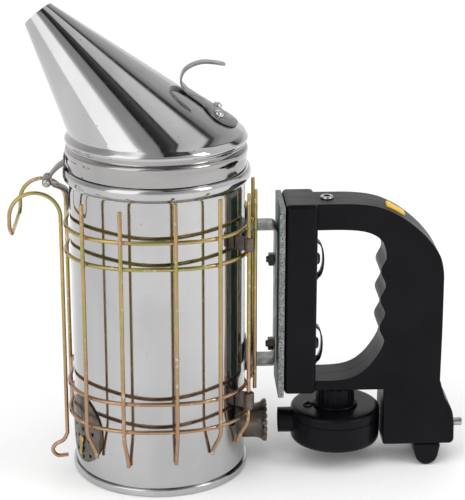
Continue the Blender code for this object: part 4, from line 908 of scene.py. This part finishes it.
def handle():
    left = BOARD_BACK + GAP
    column = [(left, HANDLE_BOTTOM - 0.4), (COLUMN_RIGHT, HANDLE_BOTTOM - 0.4), (COLUMN_RIGHT, 163.0),
              (left, 163.0)]
    solids = [prism([loop_outline(), opening_outline()], -ARM_HALF, ARM_HALF),
              prism([column], -COLUMN_HALF, COLUMN_HALF),
              flared(prism([block_outline()], -BLOCK_HALF, BLOCK_HALF))]
    solids = [bevelled(solid, 2.6, 6, 40) for solid in solids]
    body = join(solids[0], solids[1:], "MANIFOLD")
    half_x, half_y = 6.3, 4.8
    openings = [box((-half_x, -half_y, -BUTTON_POCKET), (half_x, half_y, 5), button_frame()),
                box((BLOCK_LEFT + 4, -13, BLOCK_BOTTOM - 2), (BLOCK_RIGHT - 6, 13, BLOCK_BOTTOM + 2)),
                rod(1.9, (BLOCK_RIGHT - 4, 0, 20.4), (BLOCK_RIGHT + 4, 0, 20.4)),
                rod(3.3, (97.3, 0, HANDLE_TOP - 7), (97.3, 0, HANDLE_TOP + 4))]
    openings += [rod(2.7, (x, ARM_HALF - 3, z), (x, 20, z)) for x, z in ((114.0, 154.2), (147.0, 92.0))]
    openings += [rod(2.3, (60, 0, z), (COLUMN_RIGHT + 4, 0, z)) for z in BOLT_HEIGHTS]
    body = cut(body, openings, "MANIFOLD")
    twin = linked("piece", body.data.copy())
    for word, obj, low, high in (("near", body, -0.12, 60), ("far", twin, -60, 0.12)):
        half = cut(obj, [box((-60, low, -20), (260, high, 220))], "MANIFOLD")
        half = bevelled(half, 0.25, 2, 75)
        half = piece(half, "handle_half_" + word, BLACK, "black_plastic", "pot_and_handle",
                     "handle_shell_" + word, angle=24)
        smoother = half.modifiers.new("even_shading", "WEIGHTED_NORMAL")
        smoother.keep_sharp = True
    button = box((-6, -4.5, -3.4), (6, 4.5, 1.3), button_frame())
    piece(bevelled(button, 1.0, 5), "push_button", YELLOW, "yellow_plastic", "button", "switch_button")
    top = HANDLE_TOP + GAP
    socket = turned(smooth_path([(1.9, 1.1), (2.3, 1.3), (2.9, 1.3), (3.5, 1.0), (3.85, 0.4),
                                 (3.9, 0.0)], 3) + [(3.0, 0.0), (3.0, -7.0), (1.9, -7.0)],
                    on_axis(97.3, 0, top), 48, True)
    piece(socket, "charge_jack", BRIGHT, "dull_steel", "pot_and_handle", "charge_socket")
    low, high = BLOCK_BOTTOM - 1.2, BLOCK_BOTTOM + 1.8
    plate = bevelled(box((BLOCK_LEFT + 4.3, -12.7, low), (BLOCK_RIGHT - 6.3, 12.7, high)), 0.4, 3)
    ridge = [(166.4, BLOCK_BOTTOM - GAP), (150.0, BLOCK_BOTTOM - GAP)]
    ridge += arc(158.2, 6.8, 6.8, 190, 350, 24)
    foot = bevelled(prism([ridge[::-1]], -16.6, 16.6), 1.6, 5, 40)
    piece(join(plate, [foot]), "block_door", BLACK, "black_plastic", "pot_and_handle", "battery_door",
          angle=24)
    face, length = BLOCK_RIGHT + GAP, box_mm("thumb_screw")[1].x - AXIS_X - BLOCK_RIGHT - GAP

    def knurl(index, angle, radius, height):
        return (radius - 0.16 * (math.sin(angle * 20) > 0) if radius > 2.3 else radius), height
    stub = turned([(0, length), (1.9, length), (2.4, length - 0.5), (2.4, 0.9), (2.0, 0.3), (1.6, 0.0),
                   (1.6, -3.6), (0, -3.6)], on_axis(face, 0, 20.4, "X"), 160, False, knurl)
    piece(stub, "stub_screw", BRIGHT, "dull_steel", "pot_and_handle", "thumb_screw")


# ---------------------------------------------------------------- blower

def blower():
    centre = on_axis(BLOWER_X, 0, 0)
    outside = [(0, 34.0), (20.0, 34.0)] + smooth_path(
        [(23.6, 34.0), (24.9, 33.8), (25.9, 33.2), (26.4, 32.3), (26.5, 31.2)], 3)
    outside += [(26.5, 28.6), (26.1, 28.4), (26.1, 27.9), (26.5, 27.7), (26.5, 16.2)]
    outside += smooth_path([(26.5, 15.2), (26.2, 14.1), (25.5, 13.2), (24.6, 12.8)], 3) + [(0, 12.8)]
    volute = turned(outside, centre, 144)
    nozzle = turned([(7.5, 0), (7.5, 13), (0, 13), (0, 0)], on_axis(70.4, 0, INLET_HEIGHT, "X"), 64)
    ledge = bevelled(box((81.0, -6.6, 16.5), (88.0, 6.6, 31.8)), 1.2, 4)
    hollow = turned([(0, 32.0), (24.3, 32.0), (24.3, 14.9), (23.2, 14.9), (23.2, 10), (0, 10)],
                    centre, 96)
    body = cut(join(volute, [nozzle, ledge]),
               [hollow, rod(5.8, (65, 0, INLET_HEIGHT), (84, 0, INLET_HEIGHT)),
                rod(1.8, (BLOWER_X, 0, 28), (BLOWER_X, 0, 38))])
    piece(bevelled(body, 0.25, 2, 60), "blower_case", BLACK_GLOSS, "black_plastic", "pot_and_handle",
          "blower_volute", angle=26)
    low, top = 34.3, HANDLE_BOTTOM - 0.6
    inner = 9.9

    def fins(index, angle, radius, height):
        if 11.2 < radius < 11.9:
            return radius - 0.35 * max(0.0, math.sin(angle * 14)) ** 4, height
        return radius, height
    profile = [(0, top), (10.6, top), (11.1, top - 0.2), (11.5, top - 0.8), (11.5, low + 1.9),
               (12.2, low + 1.5), (13.1, low + 1.2), (13.3, low + 0.9), (13.3, low), (inner, low),
               (inner, top - 1.4), (0, top - 1.4)]
    piece(turned(profile, centre, 168, False, fins), "motor_cap", BLACK, "black_plastic",
          "pot_and_handle", "motor_housing", angle=26)
    cover = turned([(0, 14.6), (22.4, 14.6), (22.9, 14.1), (22.9, 13.2), (22.5, 12.8), (0, 12.8)],
                   centre)
    slots = [rod(3.0, (BLOWER_X + 11 * math.cos(a), 11 * math.sin(a), 8),
                 (BLOWER_X + 11 * math.cos(a), 11 * math.sin(a), 20))
             for a in (math.radians(60 * i) for i in range(6))]
    piece(cut(cover, slots), "intake_cover", BLACK_GLOSS, "black_plastic", "pot_and_handle",
          "blower_cover")
    head = rivet_profile(3.0, 1.6, 1.2, 0.05)
    screw = turned(head[:-4] + [(3.0, 0), (0, 0)], on_axis(88.2, -1.5, 34.3), 48)
    screw = cut(screw, [box((-0.4, -4, 1.0), (0.4, 4, 3), on_axis(88.2, -1.5, 34.3) @ turn("Z", 30)),
                        box((-4, -0.4, 1.0), (4, 0.4, 3), on_axis(88.2, -1.5, 34.3) @ turn("Z", 30))])
    piece(screw, "case_screw_head", DARK, "dull_steel", "pot_and_handle", "volute_screw")


# ---------------------------------------------------------------- assembly

fire_pot()
inlet_tube()
vent()
spout()
collar()
tab()
hinge()
guard()
hook()
bracket()
handle()
blower()

CARRIED_OVER = {"ash_grate": STAINED, "bracket_bolt": DARK, "bracket_nut": DARK,
                "case_screw_upper": BRIGHT, "case_screw_lower": BRIGHT, "switch_body": BLACK,
                "battery_cell": WRAP, "motor": BRIGHT, "motor_shaft": BRIGHT, "impeller": BLACK}
for node_name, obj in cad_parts.items():
    if obj.hide_render:
        continue
    keys = [key for key in CARRIED_OVER if node_name.startswith(key)]
    chosen = CARRIED_OVER[max(keys, key=len)] if keys else DULL
    for slot in obj.material_slots:
        slot.material = chosen


# ---------------------------------------------------------------- studio

def floor():
    bm = bmesh.new()
    bmesh.ops.create_circle(bm, cap_ends=True, segments=96, radius=9.0)
    ground = from_bmesh(bm, Matrix.Translation((0, 0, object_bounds()[0].z - FLOOR_GAP * MM)))
    paper = Finish("paper_floor", (0.93, 0.93, 0.93), 0.75)
    paper.colour(paper.mix(paper.noise(3, 2), (0.925, 0.925, 0.925), (0.94, 0.94, 0.94)))
    paper.bump((paper.noise(900, 2), 0.05, 0.05))
    ground.data.materials.append(paper.material)
    ground.name = "studio_floor"


def ramp(tree, factor, stops):
    """Grey levels round the horizon, each stop an azimuth in degrees and a level."""
    node = tree.nodes.new("ShaderNodeValToRGB")
    node.color_ramp.interpolation = "EASE"
    elements = node.color_ramp.elements
    for index, (azimuth, level) in enumerate(stops):
        place = (azimuth + 180) / 360
        element = elements[index] if index < 2 else elements.new(place)
        element.position = place
        element.color = (level, level, level, 1)
    tree.links.new(factor, node.inputs[0])
    return node.outputs[0]


def sky():
    """Soft boxes and dark gaps between them, above a plain pale horizon."""
    world = bpy.data.worlds.new("studio")
    bpy.context.scene.world = world
    world.use_nodes = True
    tree = world.node_tree
    direction = tree.nodes.new("ShaderNodeTexCoord").outputs["Generated"]
    radial = tree.nodes.new("ShaderNodeTexGradient")
    radial.gradient_type = "RADIAL"
    tree.links.new(direction, radial.inputs[0])
    height = tree.nodes.new("ShaderNodeSeparateXYZ")
    tree.links.new(direction, height.inputs[0])
    low = ramp(tree, radial.outputs["Fac"],
               ((-180, 0.25), (180, 0.25), (-157, 0.3), (-148, 0.9), (-117, 0.9), (-110, 0.35),
                (-104, 0.23), (-78, 0.22), (-30, 0.4), (26, 0.5), (31, 0.03), (35, 0.03), (39, 0.17),
                (51, 0.28), (68, 0.35), (78, 0.6), (110, 0.45)))
    high = ramp(tree, radial.outputs["Fac"],
                ((-180, 0.25), (180, 0.25), (-150, 0.5), (-122, 0.8), (-108, 0.25), (-81, 0.21),
                 (-77, 0.01), (-62, 0.025), (-44, 0.06), (-34, 0.02), (-29, 0.42), (24, 0.5),
                 (31, 0.025), (35, 0.025), (39, 0.17), (51, 0.28), (68, 0.35), (78, 0.6), (110, 0.45)))

    def share(start, end):
        node = tree.nodes.new("ShaderNodeMapRange")
        tree.links.new(height.outputs["Z"], node.inputs[0])
        node.inputs[1].default_value = math.sin(math.radians(start))
        node.inputs[2].default_value = math.sin(math.radians(end))
        return node.outputs[0]

    def mix(factor, a, b):
        node = tree.nodes.new("ShaderNodeMix")
        node.data_type = "RGBA"
        tree.links.new(factor, node.inputs[0])
        for socket, value in ((node.inputs[6], a), (node.inputs[7], b)):
            if isinstance(value, float):
                socket.default_value = (value, value, value, 1)
            else:
                tree.links.new(value, socket)
        return node.outputs[2]
    bands = mix(share(44, 50), low, high)
    plain = ramp(tree, radial.outputs["Fac"],
                 ((-180, 0.45), (180, 0.45), (-157, 0.47), (-148, 0.9), (-124, 0.85), (-112, 0.45)))
    colour = mix(share(7, 14), plain, bands)
    background = tree.nodes["Background"]
    tree.links.new(colour, background.inputs[0])
    background.inputs[1].default_value = SKY_STRENGTH


def lamp(name, place, target, size, power):
    light = bpy.data.lights.new(name, "AREA")
    light.shape = "RECTANGLE"
    light.size, light.size_y = size
    light.energy = power
    obj = linked(name, light)
    facing = (Vector(target) - Vector(place)).to_track_quat("-Z", "Y")
    obj.matrix_world = Matrix.LocRotScale(Vector(place), facing, None)


def overhead():
    """An even, very soft light from above, a little from the front left."""
    light = bpy.data.lights.new("overhead", "SUN")
    light.energy = 1.35
    light.angle = math.radians(75)
    obj = linked("overhead", light)
    obj.rotation_euler = (math.radians(24), math.radians(-16), 0)
    obj.visible_glossy = False


def camera():
    """A long lens a little left of the pot and above it, looking down on its front."""
    yaw, pitch, roll = math.radians(2.868), math.radians(18.625), math.radians(0.045)
    ahead = Vector((math.sin(yaw) * math.cos(pitch), math.cos(yaw) * math.cos(pitch), -math.sin(pitch)))
    right = Vector((math.cos(yaw), -math.sin(yaw), 0))
    up = right.cross(ahead)
    place = at(-4.1, -943.0, 449.6)
    data = bpy.data.cameras.new("camera")
    data.sensor_width = 36
    data.lens = 124.1
    data.clip_start, data.clip_end = 0.02, 60
    obj = linked("camera", data)
    turned_to = Matrix((right, up, -ahead)).transposed().to_4x4()
    obj.matrix_world = Matrix.Translation(place) @ turned_to @ Matrix.Rotation(roll, 4, "Z")
    bpy.context.scene.camera = obj


floor()
sky()
overhead()
lamp("right_edge", (0.9, -0.5, 0.8), (0.05, 0, 0.1), (0.3, 0.6), 3)
camera()
bpy.context.scene.view_settings.view_transform = "Standard"
